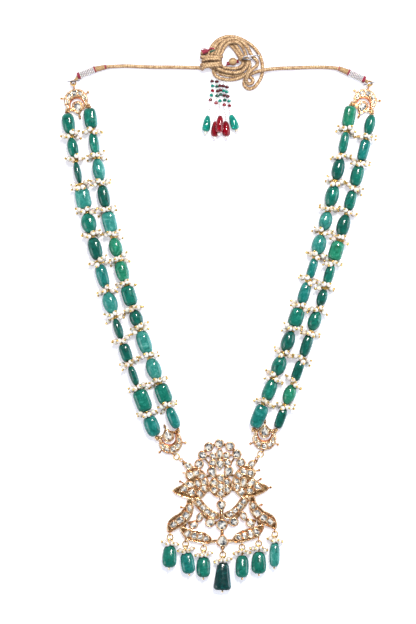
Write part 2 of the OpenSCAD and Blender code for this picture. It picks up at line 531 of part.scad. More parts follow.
// Slider bead between its two thread rings, lying in the coil
module cord_slider() {
    color("tan") translate([3.8, 168.9, 2.75]) rotate(12.4) rotate([0, 90, 0]) rotate_extrude($fn = 24) polygon([
        [0, 0], [0.9, 0], [1.25, 1.0], [1.0, 2.0], [1.9, 2.6], [2.55, 3.9],
        [1.9, 5.3], [1.0, 5.9], [1.3, 6.6], [1.1, 7.8], [0, 7.8]]);
}
module tube_between(a, b, r) {
    translate([a[0], a[1], sleeve_z]) rotate(heading(b - a)) rotate([0, 90, 0]) difference() {
        cylinder(h = norm(b - a), r = r);
        translate([0, 0, -1]) cylinder(h = norm(b - a) + 2, r = cord_d / 2 + 0.35);
    }
}
module cord_end(e) {
    color("ivory") {
        tube_between(e[0], e[1] - 0.25 * unit(e[1] - e[0]), 2.3);
        tube_between(e[1] + 0.25 * unit(e[2] - e[1]), e[2], 1.95);
    }
}
module cord_loops() {
    color("tan") for (k = [0, 1]) {
        back = back_turn(k);
        eye = eye_at(k);
        c = eye + 1.9 * along(back);
        stem = CORD_ENDS[k][0] - 0.2 * unit(CORD_ENDS[k][1] - CORD_ENDS[k][0]);
        way_in = unit(stem - c);
        union() {
            translate([c[0], c[1], 2.0]) ring(1.6, 0.4);
            rod([c[0] + 1.6 * way_in[0], c[1] + 1.6 * way_in[1], 2.0], [stem[0], stem[1], 2.3], 0.45);
        }
    }
}
module steel_wires() {
    color("silver") {
        for (k = [0, 1]) {
            eye = eye_at(k);
            across = k == 0 ? 2 : 16;
            d = 3.8 * along(across);
            rod([eye[0] - d[0], eye[1] - d[1], 2.95], [eye[0] + d[0], eye[1] + d[1], 2.95], 0.22);
        }
        rod([15.4, 172.8, 5.2], [24.2, 173.5, 5.2], 0.3);
    }
}

// Tassel: bead strings from under the edge of the knot, each to the head of a glass drop
string_r = 0.75;
edge_gap = 0.25;        // from a string's end to the knot
function knot_edge(x) = min(
    COIL_Y - sqrt(pow(COIL_OUT - 0.2, 2) - pow(x + string_r - COIL_X, 2)),
    WRAP_Y - WRAP_H / 2) - edge_gap;
module tassel_strings() {
    color("ivory") for (t = TASSEL) {
        x = t[0] * 0.62;
        route = [[x, knot_edge(x), 0.9], [t[0] * 0.7, 150, t[4] > 4 ? 2.6 : 0.9], [t[0], t[1] + 0.6, t[4]]];
        loft([for (i = [0:2]) sweep_ring(route, i, string_r)]);
    }
}
module glass_drop(t) {
    translate([t[0], t[1], t[4]]) rotate(-90 + t[3]) rotate([0, 90, 0])
        rotate_extrude($fn = 24) polygon([
            [0, 0], [1.0, 0], [1.6, t[2] * 0.12], [2.2, t[2] * 0.35], [2.5, t[2] * 0.7],
            [2.2, t[2] * 0.92], [1.2, t[2]], [0, t[2]]]);
}
module tassel_drops(red) {
    color(red == 1 ? "crimson" : "mediumseagreen") for (t = TASSEL) if (t[5] == red) glass_drop(t);
}

emeralds(0);  // emeralds_left_outer
emeralds(1);  // emeralds_left_inner
emeralds(2);  // emeralds_right_outer
emeralds(3);  // emeralds_right_inner
pearls(0);  // pearls_left_outer
pearls(1);  // pearls_left_inner
pearls(2);  // pearls_right_outer
pearls(3);  // pearls_right_inner
thread(0);  // thread_left_outer
thread(1);  // thread_left_inner
thread(2);  // thread_right_outer
thread(3);  // thread_right_inner
spacer(0);  // spacer_top_left
spacer(1);  // spacer_top_right
spacer(2);  // spacer_low_left
spacer(3);  // spacer_low_right
spacer_stones(0);  // spacer_stones_top_left
spacer_stones(1);  // spacer_stones_top_right
spacer_stones(2);  // spacer_stones_low_left
spacer_stones(3);  // spacer_stones_low_right
pendant_frame();
in_pendant() stones(concat(both(FAN), FAN_TOP));  // stones_fan
in_pendant() stones(concat(both(FLOWER), FLOWER_MID));  // stones_flower
in_pendant() stones(concat(both(ROSETTE), ROSETTE_MID));  // stones_rosette
in_pendant() stones([for (s = BIRD) mirrored(s)]);  // stones_bird_left
in_pendant() stones(BIRD);  // stones_bird_right
in_pendant() stones(concat(both(BARS), BARS_MID));  // stones_bars
in_pendant() stones(both(WINGS));  // stones_wings
in_pendant() stones(concat(both(SMALL), SMALL_MID));  // stones_settings
in_pendant() stones(concat(both(LEAVES), KITE));  // stones_leaves
link_rings();
jump_rings();
drop(0);  // drop_1
drop(1);  // drop_2
drop(2);  // drop_3
drop(3);  // drop_4
drop(4);  // drop_5
drop(5);  // drop_6
drop(6);  // drop_7
pin(0);  // pin_1
pin(1);  // pin_2
pin(2);  // pin_3
pin(3);  // pin_4
pin(4);  // pin_5
pin(5);  // pin_6
pin(6);  // pin_7
cord(CORD_LEFT);  // cord_left
cord(CORD_RIGHT);  // cord_right
cord_coil();
cord_wrap();
cord_slider();
cord_end(CORD_ENDS[0]);  // cord_end_left
cord_end(CORD_ENDS[1]);  // cord_end_right
cord_loops();
steel_wires();
tassel_strings();
tassel_drops(0);  // tassel_green_drops
tassel_drops(1);  // tassel_red_drops
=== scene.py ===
"""Looks for the kundan pendant necklace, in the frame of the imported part.

Lengths are in mm until a mesh is made, and angles of places are in degrees.
"""

import random
from math import asin, copysign, cos, degrees, inf, pi, radians, sin, sqrt

import bpy
import numpy as np
from mathutils import Matrix, Vector


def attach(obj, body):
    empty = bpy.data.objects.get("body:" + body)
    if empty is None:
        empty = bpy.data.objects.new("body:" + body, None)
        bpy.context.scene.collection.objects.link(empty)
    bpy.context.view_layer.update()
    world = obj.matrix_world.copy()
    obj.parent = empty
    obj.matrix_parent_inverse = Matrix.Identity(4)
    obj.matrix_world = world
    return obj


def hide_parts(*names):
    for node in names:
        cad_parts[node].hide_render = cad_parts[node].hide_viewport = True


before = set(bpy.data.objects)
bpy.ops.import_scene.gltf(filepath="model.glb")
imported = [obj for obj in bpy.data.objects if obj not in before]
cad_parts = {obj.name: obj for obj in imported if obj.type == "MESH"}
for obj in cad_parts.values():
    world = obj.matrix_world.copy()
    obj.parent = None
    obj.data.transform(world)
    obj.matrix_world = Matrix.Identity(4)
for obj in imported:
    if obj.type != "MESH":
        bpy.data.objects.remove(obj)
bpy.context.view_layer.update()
MM = 0.001
CORD_D = 2.4
rng = random.Random(11)


# Directions and curves
def unit(v):
    v = np.asarray(v, float)
    return v / max(np.linalg.norm(v), 1e-9)


def basis(axis, hint=(0, 0, 1)):
    """Columns: axis, side, up."""
    a = unit(axis)
    h = np.asarray(hint, float)
    if abs(a @ unit(h)) > 0.98:
        h = np.array((0.0, 1.0, 0.0))
    side = unit(np.cross(h, a))
    return np.stack((a, side, np.cross(a, side)), axis=1)


def turn(axis, deg):
    return np.array(Matrix.Rotation(radians(deg), 3, axis))


def towards(deg):
    """Flat direction at an angle from X."""
    return np.array((cos(radians(deg)), sin(radians(deg))))


def angles(count):
    """Angles at even steps round a circle, in radians."""
    return [2 * pi * i / count for i in range(count)]


def between(a, b, c, d, t):
    """Smooth way from b to c, between the points a and d, at a share t of it."""
    return 0.5 * (2 * b + (c - a) * t + (2 * a - 5 * b + 4 * c - d) * t * t
                  + (3 * b - a - 3 * c + d) * t ** 3)


def spline(points, step=0.4):
    """Smooth path through the points, about a step between samples."""
    p = np.asarray(points, float)
    p = np.concatenate(([2 * p[0] - p[1]], p, [2 * p[-1] - p[-2]]))
    out = []
    for i in range(1, len(p) - 2):
        a, b, c, d = p[i - 1: i + 3]
        n = max(2, int(np.linalg.norm(c - b) / step + 0.5))
        out += [between(a, b, c, d, k / n) for k in range(n)]
    out.append(p[-2])
    return np.array(out)


def closed_curve(points, steps):
    """Smooth closed path, with this many steps from each point to the next."""
    p = np.asarray(points, float)
    n = len(p)
    return [between(p[i - 1], p[i], p[(i + 1) % n], p[(i + 2) % n], k / steps)
            for i in range(n) for k in range(steps)]


def grown(points, by):
    """Closed flat outline, pushed outwards by a margin."""
    p = np.asarray(points, float)
    after, before = np.roll(p, -1, axis=0), np.roll(p, 1, axis=0)
    way = after - before
    sense = np.sign(np.sum(p[:, 0] * after[:, 1] - after[:, 0] * p[:, 1]))
    out = np.stack([way[:, 1], -way[:, 0]], 1) / np.linalg.norm(way, axis=1)[:, None]
    return p + by * sense * out


def hoop(c, m, h, r, sides, swell=lambda a: 1):
    """Ring of points round the first column of m, h along it; swell scales the radius by angle."""
    out = []
    for a in angles(sides):
        w = r * swell(a)
        out.append(c + m @ (h, w * cos(a), w * sin(a)))
    return out


def runs(path):
    """Distance along a path at each of its points."""
    return np.append(0, np.cumsum(np.linalg.norm(np.diff(path, axis=0), axis=1)))


# Objects
NO_BRAID = (0, 1, 0, None)


def new_object(name, data):
    ob = bpy.data.objects.new(name, data)
    bpy.context.scene.collection.objects.link(ob)
    return ob


class Shape:
    """Collects closed pieces of mesh and makes one object of them."""

    def __init__(self):
        self.points, self.faces, self.slots, self.mats, self.count = [], [], [], [], 0

    def slot_of(self, mat):
        if mat not in self.mats:
            self.mats.append(mat)
        return self.mats.index(mat)

    def add(self, points, faces, looks):
        """Points, faces between them, and a material for each face."""
        self.points.append(np.asarray(points, float))
        self.faces.extend([[i + self.count for i in f] for f in faces])
        self.slots.extend([self.slot_of(look) for look in looks])
        self.count += len(points)

    def rings(self, rings, mat, closed=False, caps=True):
        """Skin between rings of points; mat is a material or a choice by ring and side."""
        n, m = len(rings[0]), len(rings)
        faces, looks = [], []
        for k in range(m if closed else m - 1):
            a, b = k * n, (k + 1) % m * n
            for i in range(n):
                j = (i + 1) % n
                faces.append((a + i, a + j, b + j, b + i))
                looks.append(mat(k, i) if callable(mat) else mat)
        if caps and not closed:
            faces += [tuple(range(n - 1, -1, -1)), tuple(range((m - 1) * n, m * n))]
            looks += 2 * looks[:1]
        self.add(np.concatenate(rings), faces, looks)

    def ball(self, c, r, mat, sides=14, rows=9, axis=(0, 0, 1), stretch=1.0, dent=0.0):
        """Ball, stretched on its axis and dented, with its end rings just off the poles."""
        b, off_pole = basis(axis, (0, 1, 0.2)), 0.12
        rings = []
        for k in range(rows + 1):
            t = pi * (k + off_pole) / (rows + 2 * off_pole)
            rings.append(hoop(c, b, -r * stretch * cos(t), r * sin(t), sides,
                              lambda a: 1 + dent * sin(2 * a + c[0]) * sin(t)))
        self.rings(rings, mat)

    def turned(self, start, axis, profile, mat, sides=20):
        """Turned form: profile of (distance along the axis, radius)."""
        self.rings([hoop(start, basis(axis), h, r, sides) for h, r in profile], mat)

    def torus(self, c, normal, big, small, mat, sides=26, rows=8):
        b = basis(normal, (0.1, 1, 0))
        rings = []
        for t in angles(sides):
            ring = []
            for a in angles(rows):
                w = big + small * cos(a)
                ring.append(c + b @ (small * sin(a), w * cos(t), w * sin(t)))
            rings.append(ring)
        self.rings(rings, mat, closed=True)

    def tube(self, path, r, mat, sides=8, braid=NO_BRAID):
        """Tube on a path; braid is (strands, pitch, depth, material of the grooves); a darker material in
        the grooves is painted shade between the strands.
        """
        strands, pitch, depth, groove_shade_mat = braid
        nearly_up, groove_below = (0.03, 0.02, 1), 0.34
        path = np.asarray(path, float)
        side = unit(np.cross(nearly_up, path[1] - path[0]))
        rings, grooves, run = [], [], runs(path)
        for i, p in enumerate(path):
            d = unit(path[min(i + 1, len(path) - 1)] - path[max(i - 1, 0)])
            side = unit(side - d * (side @ d))
            up = np.cross(d, side)
            ring, deep = [], []
            for a in angles(sides):
                from_top = abs((a + pi / 2) % (2 * pi) - pi)
                crest = abs(cos(strands * (from_top - 2 * pi * run[i] / pitch) / 2))
                q = r * (1 - depth * (1 - crest ** 0.7))
                ring.append(p + q * (cos(a) * side + sin(a) * up))
                deep.append(crest < groove_below)
            rings.append(ring)
            grooves.append(deep)
        self.rings(rings, lambda k, i: groove_shade_mat if grooves[k][i] else mat)

    def closed_tube(self, path, r, mat, sides=8, squash=1.0):
        """Rounded wire on a closed flat path."""
        up, n = np.array((0, 0, 1.0)), len(path)
        rings = []
        for i, p in enumerate(path):
            side = unit(np.cross(unit(path[(i + 1) % n] - path[i - 1]), up))
            rings.append([p + r * (cos(a) * side + squash * sin(a) * up)
                          for a in angles(sides)])
        self.rings(rings, mat, closed=True)

    def make(self, name, slot, replaces=(), smooth=True):
        me = bpy.data.meshes.new(name)
        me.from_pydata((np.concatenate(self.points) * MM).tolist(), [], self.faces)
        for mat in self.mats:
            me.materials.append(mat)
        me.polygons.foreach_set("material_index", self.slots)
        me.polygons.foreach_set("use_smooth", [smooth] * len(self.faces))
        me.update()
        ob = new_object(name, me)
        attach(ob, "root")
        if replaces:
            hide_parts(*replaces)
        return ob


# Materials: sizes in metres, and scales of noise in turns per metre
WHITE, BLACK = (1.0, 1.0, 1.0), (0.0, 0.0, 0.0)


class Nodes:
    """The node tree of a material or world, and short ways to add to it."""

    def __init__(self, owner):
        owner.use_nodes = True
        self.tree = owner.node_tree
        self.coords = self.node("TexCoord").outputs

    def node(self, kind, **values):
        """New node with these values on its inputs."""
        n = self.tree.nodes.new("ShaderNode" + kind)
        for key, value in values.items():
            n.inputs[key].default_value = value
        return n

    def link(self, source, target):
        self.tree.links.new(source, target)

    def texture(self, kind, out, **values):
        n = self.node("Tex" + kind, **values)
        self.link(self.coords["Object"], n.inputs["Vector"])
        return n.outputs[out]

    def noise(self, scale, detail, rough=0.5, distort=0.0):
        return self.texture("Noise", "Fac", Scale=scale, Detail=detail, Roughness=rough, Distortion=distort)

    def ramp(self, source, stops):
        """Ramp of (place, colour or grey value)."""
        n = self.node("ValToRGB")
        e = n.color_ramp.elements
        while len(e) < len(stops):
            e.new(0.5)
        for k, (at, c) in enumerate(stops):
            e[k].position = at
            e[k].color = (*(c * np.ones(3)), 1)
        self.link(source, n.inputs["Fac"])
        return n.outputs["Color"]

    def mix(self, a, b, factor, kind="MULTIPLY"):
        n = self.node("Mix")
        n.data_type = "RGBA"
        n.blend_type = kind
        n.inputs["Factor"].default_value = factor
        self.link(a, n.inputs[6])
        self.link(b, n.inputs[7])
        return n.outputs[2]

    def along(self, coords, axis, stops):
        """Ramp by one part of some coordinates; for Normal, it tells how far the surface faces that way."""
        split = self.node("SeparateXYZ")
        self.link(self.coords[coords], split.inputs[0])
        return self.ramp(split.outputs[axis], stops)


class Look(Nodes):
    """A principled material; sockets are named with _ for each space."""

    def __init__(self, name, colour, rough, metal=0.0, **sockets):
        self.mat = bpy.data.materials.new(name)
        super().__init__(self.mat)
        self.inputs = self.tree.nodes["Principled BSDF"].inputs
        values = {"Base_Color": (*colour, 1), "Roughness": rough, "Metallic": metal, **sockets}
        for key, value in values.items():
            self.inputs[key.replace("_", " ")].default_value = value

    def feed(self, source, key):
        self.link(source, self.inputs[key])

    def bump(self, height, distance, strength):
        n = self.node("Bump", Distance=distance, Strength=strength)
        self.link(height, n.inputs["Height"])
        self.feed(n.outputs["Normal"], "Normal")


def gold_material(name, light, deep, rough, patches=(420, 0.3, 0.62), metal=1.0):
    """Worn gold; patches is (scale, where the deep tone ends, where the light one starts)."""
    n = Look(name, light, rough, metal)
    scale, deep_to, light_from = patches
    n.feed(n.ramp(n.noise(scale, 4, 0.6), [(deep_to, deep), (light_from, light)]), "Base Color")
    n.feed(n.ramp(n.noise(1100, 3), [(0.3, rough - 0.1), (0.75, rough + 0.14)]), "Roughness")
    n.bump(n.mix(n.noise(700, 2), n.texture("Voronoi", "Distance", Scale=560), 0.5), 0.00004, 0.7)
    return n.mat


def emerald_material(name, dark, mid, pale, milky=0.0):
    """Cloudy green stone, with painted shade on its sides and a painted bluish reflection of the window
    where it faces +X.
    """
    n = Look(name, mid, 0.14, IOR=1.54, Coat_Weight=0.15, Coat_Roughness=0.04,
             Subsurface_Weight=0.05 + milky, Subsurface_Scale=0.0014, Subsurface_Radius=(0.3, 1.0, 0.8))
    veins = n.mix(n.noise(210, 5, 0.66, 1.4), n.noise(1250, 3, 0.6, 0.6), 0.42, "OVERLAY")
    body = n.ramp(veins, [(0.34, dark), (0.47, mid), (0.55, mid), (0.68, pale)])
    # Painted shade: darker where the surface turns away from straight up
    body = n.mix(body, n.along("Normal", "Z", [(0.05, (0.25, 0.38, 0.36)), (0.80, WHITE)]), 1.0)
    # Painted reflection: a bluish glow added where the surface faces +X, towards the window light
    edge = n.along("Normal", "X", [(0.60, BLACK), (0.97, (0.12, 0.26, 0.29))])
    n.feed(n.mix(body, edge, 1.0, "ADD"), "Base Color")
    n.feed(n.ramp(n.noise(500, 3), [(0.35, 0.09), (0.7, 0.22)]), "Roughness")
    n.bump(n.noise(240, 3), 0.0002, 0.35)
    return n.mat


def pearl_material():
    n = Look("pearl", (0.76, 0.70, 0.62), 0.24, IOR=1.5, Coat_Weight=0.6, Coat_Roughness=0.08,
             Subsurface_Weight=0.15, Subsurface_Scale=0.0006)
    tone = n.ramp(n.noise(300, 2), [(0.32, (0.74, 0.60, 0.44)), (0.52, (0.95, 0.92, 0.87))])
    # Painted shade: browner where the pearl turns away from straight up
    painted_shade = n.along("Normal", "Z", [(0.05, (0.42, 0.30, 0.20)), (0.70, WHITE)])
    n.feed(n.mix(tone, painted_shade, 1.0), "Base Color")
    n.bump(n.noise(900, 2), 0.00004, 0.3)
    return n.mat


def stone_material(name, low, high):
    """Flat cut stone over foil, in patches between two tones."""
    n = Look(name, high, 0.08, IOR=1.6, Coat_Weight=0.8, Coat_Roughness=0.03)
    n.feed(n.ramp(n.texture("Voronoi", "Color", Scale=900), [(0.25, low), (0.6, high)]), "Base Color")
    return n.mat


def yarn_material(name, light, dark, scale=1000.0, metal=0.3):
    n = Look(name, light, 0.5, metal, Sheen_Weight=0.2)
    # Painted shade: darker brown where the cord or thread turns away from straight up
    painted_shade = n.along("Normal", "Z", [(0.30, (0.40, 0.25, 0.15)), (0.88, WHITE)])
    n.feed(n.mix(n.ramp(n.noise(scale, 2), [(0.38, dark), (0.56, light)]), painted_shade, 1.0), "Base Color")
    n.feed(n.ramp(n.noise(scale * 1.3, 1), [(0.3, 0.34), (0.7, 0.66)]), "Roughness")
    n.bump(n.noise(scale * 1.2, 2), 0.0001, 0.8)
    return n.mat


def bead_material(name, colour, deep, rough=0.18, sub=0.1, clear=0.0):
    n = Look(name, colour, rough, IOR=1.46, Coat_Weight=0.2, Coat_Roughness=0.05, Subsurface_Weight=sub,
             Subsurface_Scale=0.0008, Transmission_Weight=clear)
    n.feed(n.ramp(n.noise(420, 3), [(0.3, deep), (0.6, colour)]), "Base Color")
    n.bump(n.noise(1300, 2), 0.00003, 0.4)
    return n.mat


GOLD = gold_material("gold", (1.0, 0.79, 0.52), (0.62, 0.28, 0.11), 0.24, (560, 0.41, 0.55), 0.84)
# Darker gold for the frames' flat field: worn-gold patches, darkened as painted shade between the stones
# and rims
GOLD_PLATE_SHADED = gold_material("gold_plate_shaded", (0.94, 0.58, 0.27), (0.30, 0.12, 0.045), 0.30, (620, 0.40, 0.58))
WIRE = gold_material("gold_wire", (0.86, 0.60, 0.22), (0.62, 0.38, 0.10), 0.3)
# Red gold; as the line at each bezel's foot it is also painted shade in the crevice
RED_GOLD = gold_material("red_gold", (0.78, 0.33, 0.16), (0.40, 0.13, 0.06), 0.34)
# Dark, middle and pale tone of each green, and how milky it is
GREENS = {
    "mid": ((0.0008, 0.066, 0.050), (0.003, 0.165, 0.118), (0.030, 0.320, 0.240)),
    "dark": ((0.0005, 0.046, 0.036), (0.001, 0.102, 0.076), (0.008, 0.195, 0.150)),
    "bell": ((0.0003, 0.018, 0.020), (0.0006, 0.042, 0.042), (0.006, 0.120, 0.115)),
    "light": ((0.010, 0.140, 0.118), (0.030, 0.260, 0.222), (0.130, 0.450, 0.395), 0.08),
    "bright": ((0.002, 0.110, 0.055), (0.012, 0.225, 0.125), (0.060, 0.400, 0.260), 0.05),
    "teal": ((0.001, 0.082, 0.072), (0.005, 0.188, 0.162), (0.055, 0.350, 0.320)),
}
EMERALDS = {tone: emerald_material("emerald_" + tone, *look) for tone, look in GREENS.items()}
PEARL = pearl_material()
STONE = stone_material("kundan_stone", (0.72, 0.70, 0.64), (0.93, 0.91, 0.86))
# Grey and dark copies of the stone: painted shade and painted reflections on some facets
STONE_GREY_SHADE = stone_material("kundan_grey_shade", (0.16, 0.165, 0.175), (0.42, 0.43, 0.44))
STONE_DARK_SHADE = stone_material("kundan_dark_shade", (0.03, 0.035, 0.045), (0.13, 0.14, 0.16))
YARN = yarn_material("gold_yarn", (0.77, 0.55, 0.315), (0.37, 0.19, 0.08))
# Darker copy of the yarn: painted shade in the braid's grooves
YARN_GROOVE_SHADE = yarn_material("gold_yarn_groove_shade", (0.42, 0.24, 0.10), (0.22, 0.11, 0.045))
YARN_FINE = yarn_material("gold_winding", (0.78, 0.54, 0.27), (0.36, 0.20, 0.08), 2600)
CRIMSON = yarn_material("crimson_thread", (0.50, 0.02, 0.07), (0.20, 0.005, 0.03), 2200, 0.0)
GREEN_THREAD = yarn_material("green_thread", (0.04, 0.22, 0.14), (0.01, 0.08, 0.05), 2200, 0.0)
# Dark purplish core under the sleeves' seed beads: painted shade in the gaps between the beads
SHADE_CORE = yarn_material("sleeve_core_shade", (0.34, 0.27, 0.30), (0.20, 0.14, 0.16), 2200, 0.0)
SEED = bead_material("white_seed", (0.90, 0.89, 0.88), (0.76, 0.72, 0.72), 0.2)
RED = bead_material("red_glass", (0.40, 0.004, 0.022), (0.15, 0.001, 0.008), 0.07, 0.05)
GREEN = bead_material("green_glass", (0.004, 0.32, 0.24), (0.001, 0.15, 0.11), 0.07, 0.08)
RED_GLASS = bead_material("red_drop_glass", (0.44, 0.004, 0.020), (0.24, 0.002, 0.010), 0.05, 0.0, 0.55)
GREEN_GLASS = bead_material("green_drop_glass", (0.006, 0.44, 0.34), (0.003, 0.28, 0.21), 0.05, 0.0, 0.55)
DARK_RED = bead_material("dark_red_seed", (0.11, 0.002, 0.008), (0.04, 0.001, 0.003))
DARK_GREEN = bead_material("dark_green_seed", (0.004, 0.13, 0.08), (0.002, 0.05, 0.03))
STEEL = Look("steel_wire", (0.30, 0.30, 0.33), 0.3, 1.0).mat

# Camera straight above; the photo shows this height of the table
AIM = Vector((-7.75, 15.5, 0)) * MM
SEEN = 386.9 * MM
LENS, SENSOR = 85.0, 36.0
cam = bpy.data.cameras.new("camera")
cam.lens, cam.sensor_fit, cam.sensor_height, cam.clip_start = LENS, "VERTICAL", SENSOR, 0.05
camera = new_object("camera", cam)
camera.location = AIM + Vector((0, 0, SEEN * LENS / SENSOR))
bpy.context.scene.camera = camera

# Pale paper, with a faint glow in place of the photo's bright surroundings
TABLE_HALF = 1.6
corners = [(TABLE_HALF * x, TABLE_HALF * y, 0) for x, y in ((-1, -1), (1, -1), (1, 1), (-1, 1))]
sheet = bpy.data.meshes.new("table")
sheet.from_pydata(corners, [], [(0, 1, 2, 3)])
floor = new_object("table", sheet)
paper = Look("table_paper", (0.93, 0.935, 0.965), 0.6, Emission_Color=(0.88, 0.89, 1.0, 1),
             Emission_Strength=0.5)
paper.feed(paper.ramp(paper.noise(6, 2), [(0.3, (0.925, 0.93, 0.965)), (0.7, (0.94, 0.943, 0.968))]),
           "Base Color")
sheet.materials.append(paper.mat)


def area_light(name, where, size, power, colour):
    """Soft light at a place in metres, turned to the middle of the table."""
    light = bpy.data.lights.new(name, "AREA")
    light.shape, light.size, light.size_y = "RECTANGLE", *size
    light.energy, light.color = power, colour
    ob = new_object(name, light)
    ob.location = where
    ob.rotation_euler = (-Vector(where)).to_track_quat("-Z", "Y").to_euler()


def sky(stops, strength):
    """Light from all round; a stop is (height, colour)."""
    world = bpy.data.worlds.new("sky")
    n = Nodes(world)
    background = n.tree.nodes["Background"].inputs
    n.link(n.along("Generated", "Z", stops), background["Color"])
    background["Strength"].default_value = strength
    bpy.context.scene.world = world


area_light("key", (0.13, 0.46, 0.88), (0.10, 0.30), 8.2, (1.0, 0.97, 0.93))
area_light("window", (0.90, 0.10, 0.42), (0.7, 0.36), 3.2, (0.80, 0.89, 1.0))
area_light("fill", (-0.80, -0.25, 0.62), (0.6, 0.5), 2.4, (0.92, 0.95, 1.0))
sky([(0.35, (0.86, 0.91, 1.0)), (0.92, (0.22, 0.205, 0.19))], 0.66)
bpy.context.scene.view_settings.view_transform = "Standard"

# Cords: routes as in the solids, then on through the knot
LEFT = [(-87, 161.9, 2.4), (-82.4, 163.8, 2.4), (-77.6, 165.6, 2.4), (-71, 167, 2.2), (-64.5, 167.6, 1.4),
        (-58, 167.8, 1.25), (-51, 167.5, 1.25), (-44, 167.2, 1.25), (-37, 167.1, 1.25), (-30, 167.1, 1.25),
        (-23.5, 167, 1.25), (-17.5, 166.8, 1.5), (-13, 166.6, 1.8)]
RIGHT = [(88, 159.6, 2.4), (83.5, 161.7, 2.4), (79.2, 163.7, 2.4), (73.2, 166, 2.2), (67, 166.9, 1.4),
         (60.5, 167.1, 1.25), (54, 167, 1.25), (47.5, 166.7, 1.3), (41, 166.4, 1.9), (35, 166, 2.9),
         (29.5, 165.3, 3.8), (25, 164.5, 3.9), (20.8, 163.4, 3), (17.4, 161.8, 1.9), (14.9, 159, 1.3),
         (14.8, 155.8, 1.25), (17.4, 153.7, 1.25), (20.6, 154.6, 1.25), (23.2, 157.4, 1.25),
         (25.2, 161, 1.25), (26, 165.4, 1.25), (25.7, 170, 1.25), (24, 174.8, 1.25), (20.6, 179.4, 1.25),
         (15.8, 182.9, 1.25), (10.4, 185.4, 1.25), (4.2, 186, 1.25), (-1.2, 184.1, 1.3), (-5, 180.4, 1.7),
         (-6.8, 176, 2.9)]
WRAP_X, WRAP_Z = -5.6, 3.7
# Five turns of the coil through the wraps on the left and a small loop on the right
KNOT = [
    (-8, 173, 3.6), (-7.9, 169.3, 3.4), (-5.6, 166.6, 2.6), (-2.2, 165.4, 1.3), (1.6, 164.3, 1.25),
    (5.9, 163.7, 1.25), (10.5, 164.1, 1.3), (13.9, 165.8, 1.4), (15.6, 168.5, 1.4), (14.9, 171.5, 1.3),
    (13.3, 174.2, 1.3), (11.7, 177, 1.3), (10.1, 179.7, 1.25), (7.5, 182.3, 1.25), (3.8, 183.8, 1.5),
    (0.1, 183.1, 2.6), (-2.5, 180.7, 3.4), (-4.2, 177.6, 3.9), (-5.8, 173, 3.7), (-5.5, 169.5, 3.7),
    (-3.2, 167.8, 3.6), (-0.1, 167.2, 2.6), (3.4, 166.4, 2.2), (7.8, 166, 2.4), (11.3, 166.5, 2.8),
    (13.7, 168.5, 3), (13.5, 171.1, 2.2), (11.3, 174.1, 1.4), (9.4, 177.1, 1.3), (7.4, 179.6, 1.25),
    (5.3, 181.5, 1.25), (2.3, 182.5, 1.4), (-0.6, 180.9, 1.7), (-2, 177.7, 2.4), (-3.7, 173, 3.6),
    (-3.8, 169.6, 3.2), (-2.7, 165.8, 1.3), (-0.8, 163.4, 1.25), (2.5, 162.2, 1.25), (6.5, 161.8, 1.25),
    (10.8, 162.2, 1.25), (14.3, 162.7, 1.25), (17.2, 161.4, 1.25), (19.8, 159.7, 1.3), (19.7, 157.5, 1.6),
    (17.4, 156.6, 2.2), (15.9, 158.3, 3.2), (16.3, 160.8, 4.4), (17.9, 163.6, 4.8), (20.3, 165.9, 4.5),
    (22.5, 168, 3.2), (22.6, 170.6, 2.4), (20.6, 172.7, 2.6), (18.7, 175.1, 2.6), (17.3, 178.1, 2.8),
    (14.9, 181, 3.4), (11.6, 183.3, 3.8), (7.6, 184.2, 3.9), (3.7, 183.1, 3.9), (0.6, 180.5, 3.9),
    (-0.7, 177.3, 4.2), (-2.2, 173, 4), (-3.2, 169.4, 4.4), (-2, 166.4, 4.2), (1.2, 164.5, 3.7),
    (5.4, 163.6, 3.5), (10.1, 163.4, 3.5), (14.2, 164.8, 3.6), (16.4, 167.8, 3.6), (16.7, 171.2, 2.6),
    (15.8, 174.2, 1.5), (14.9, 176.9, 1.6), (13.3, 179.7, 2.6), (10.8, 181.8, 3.6), (7.8, 182.3, 3.7),
    (4.5, 181.3, 3.6), (2.2, 178.8, 3.2), (0.9, 176, 3), (-1.1, 172.7, 3.4), (-1.8, 169.5, 3),
    (-3.8, 166.4, 2.4), (-4.2, 163.9, 1.4), (-2.4, 161.3, 1.25), (1.2, 159.7, 1.25), (5.9, 159.3, 1.25),
    (10.8, 160.1, 1.25), (14.6, 161.8, 1.9), (17.2, 164.5, 2.6), (18.2, 167.8, 2.6), (17.5, 170.7, 3.4),
    (15.3, 172.6, 4.7), (12.8, 172.4, 5), (11.6, 170.7, 4.2)]


def wrap_turns():
    """Four uneven turns round the coil's strands, flat sided, closer together on the right."""
    turns, per_turn = 4, 24
    half_width, half_height = 5.7, 2.55
    first_y, rise, gather_y, gather = 166.1, 8.5, 169.9, 0.022
    out = []
    for k in range(turns * per_turn + 1):
        t = k / per_turn
        a = pi - 2 * pi * t
        c, s = cos(a), sin(a)
        x = WRAP_X + (half_width + 0.5 * sin(2.3 * t)) * copysign(abs(c) ** 0.8, c)
        z = WRAP_Z + half_height * copysign(abs(s) ** 0.62, s)
        y = first_y + rise * t / turns
        y += (gather_y - y) * gather * (x - WRAP_X) + 0.5 * sin(a) * sin(3.1 * t + 1)
        out.append((x, y, z))
    return out


SIDES = ("left", "right")
LEFT_TAIL = [(-11.2, 175.2, 5), (-10.4, 175.9, 5.2), (-9, 176.3, 4.6)]
# Strands, pitch, depth as a share of the radius, and material of the grooves, a darker yarn that paints
# shade between the strands
BRAID = (3, 4.4, 0.20, YARN_GROOVE_SHADE)
cord_paths = [spline(LEFT + wrap_turns() + LEFT_TAIL, 0.3), spline(RIGHT + KNOT, 0.3)]
for side, path, second_node in zip(SIDES, cord_paths, ("cord_wrap", "cord_coil")):
    s = Shape()
    s.tube(path, CORD_D / 2, YARN, 24, BRAID)
    s.make("cord_run_" + side, "cord", ("cord_" + side, second_node))

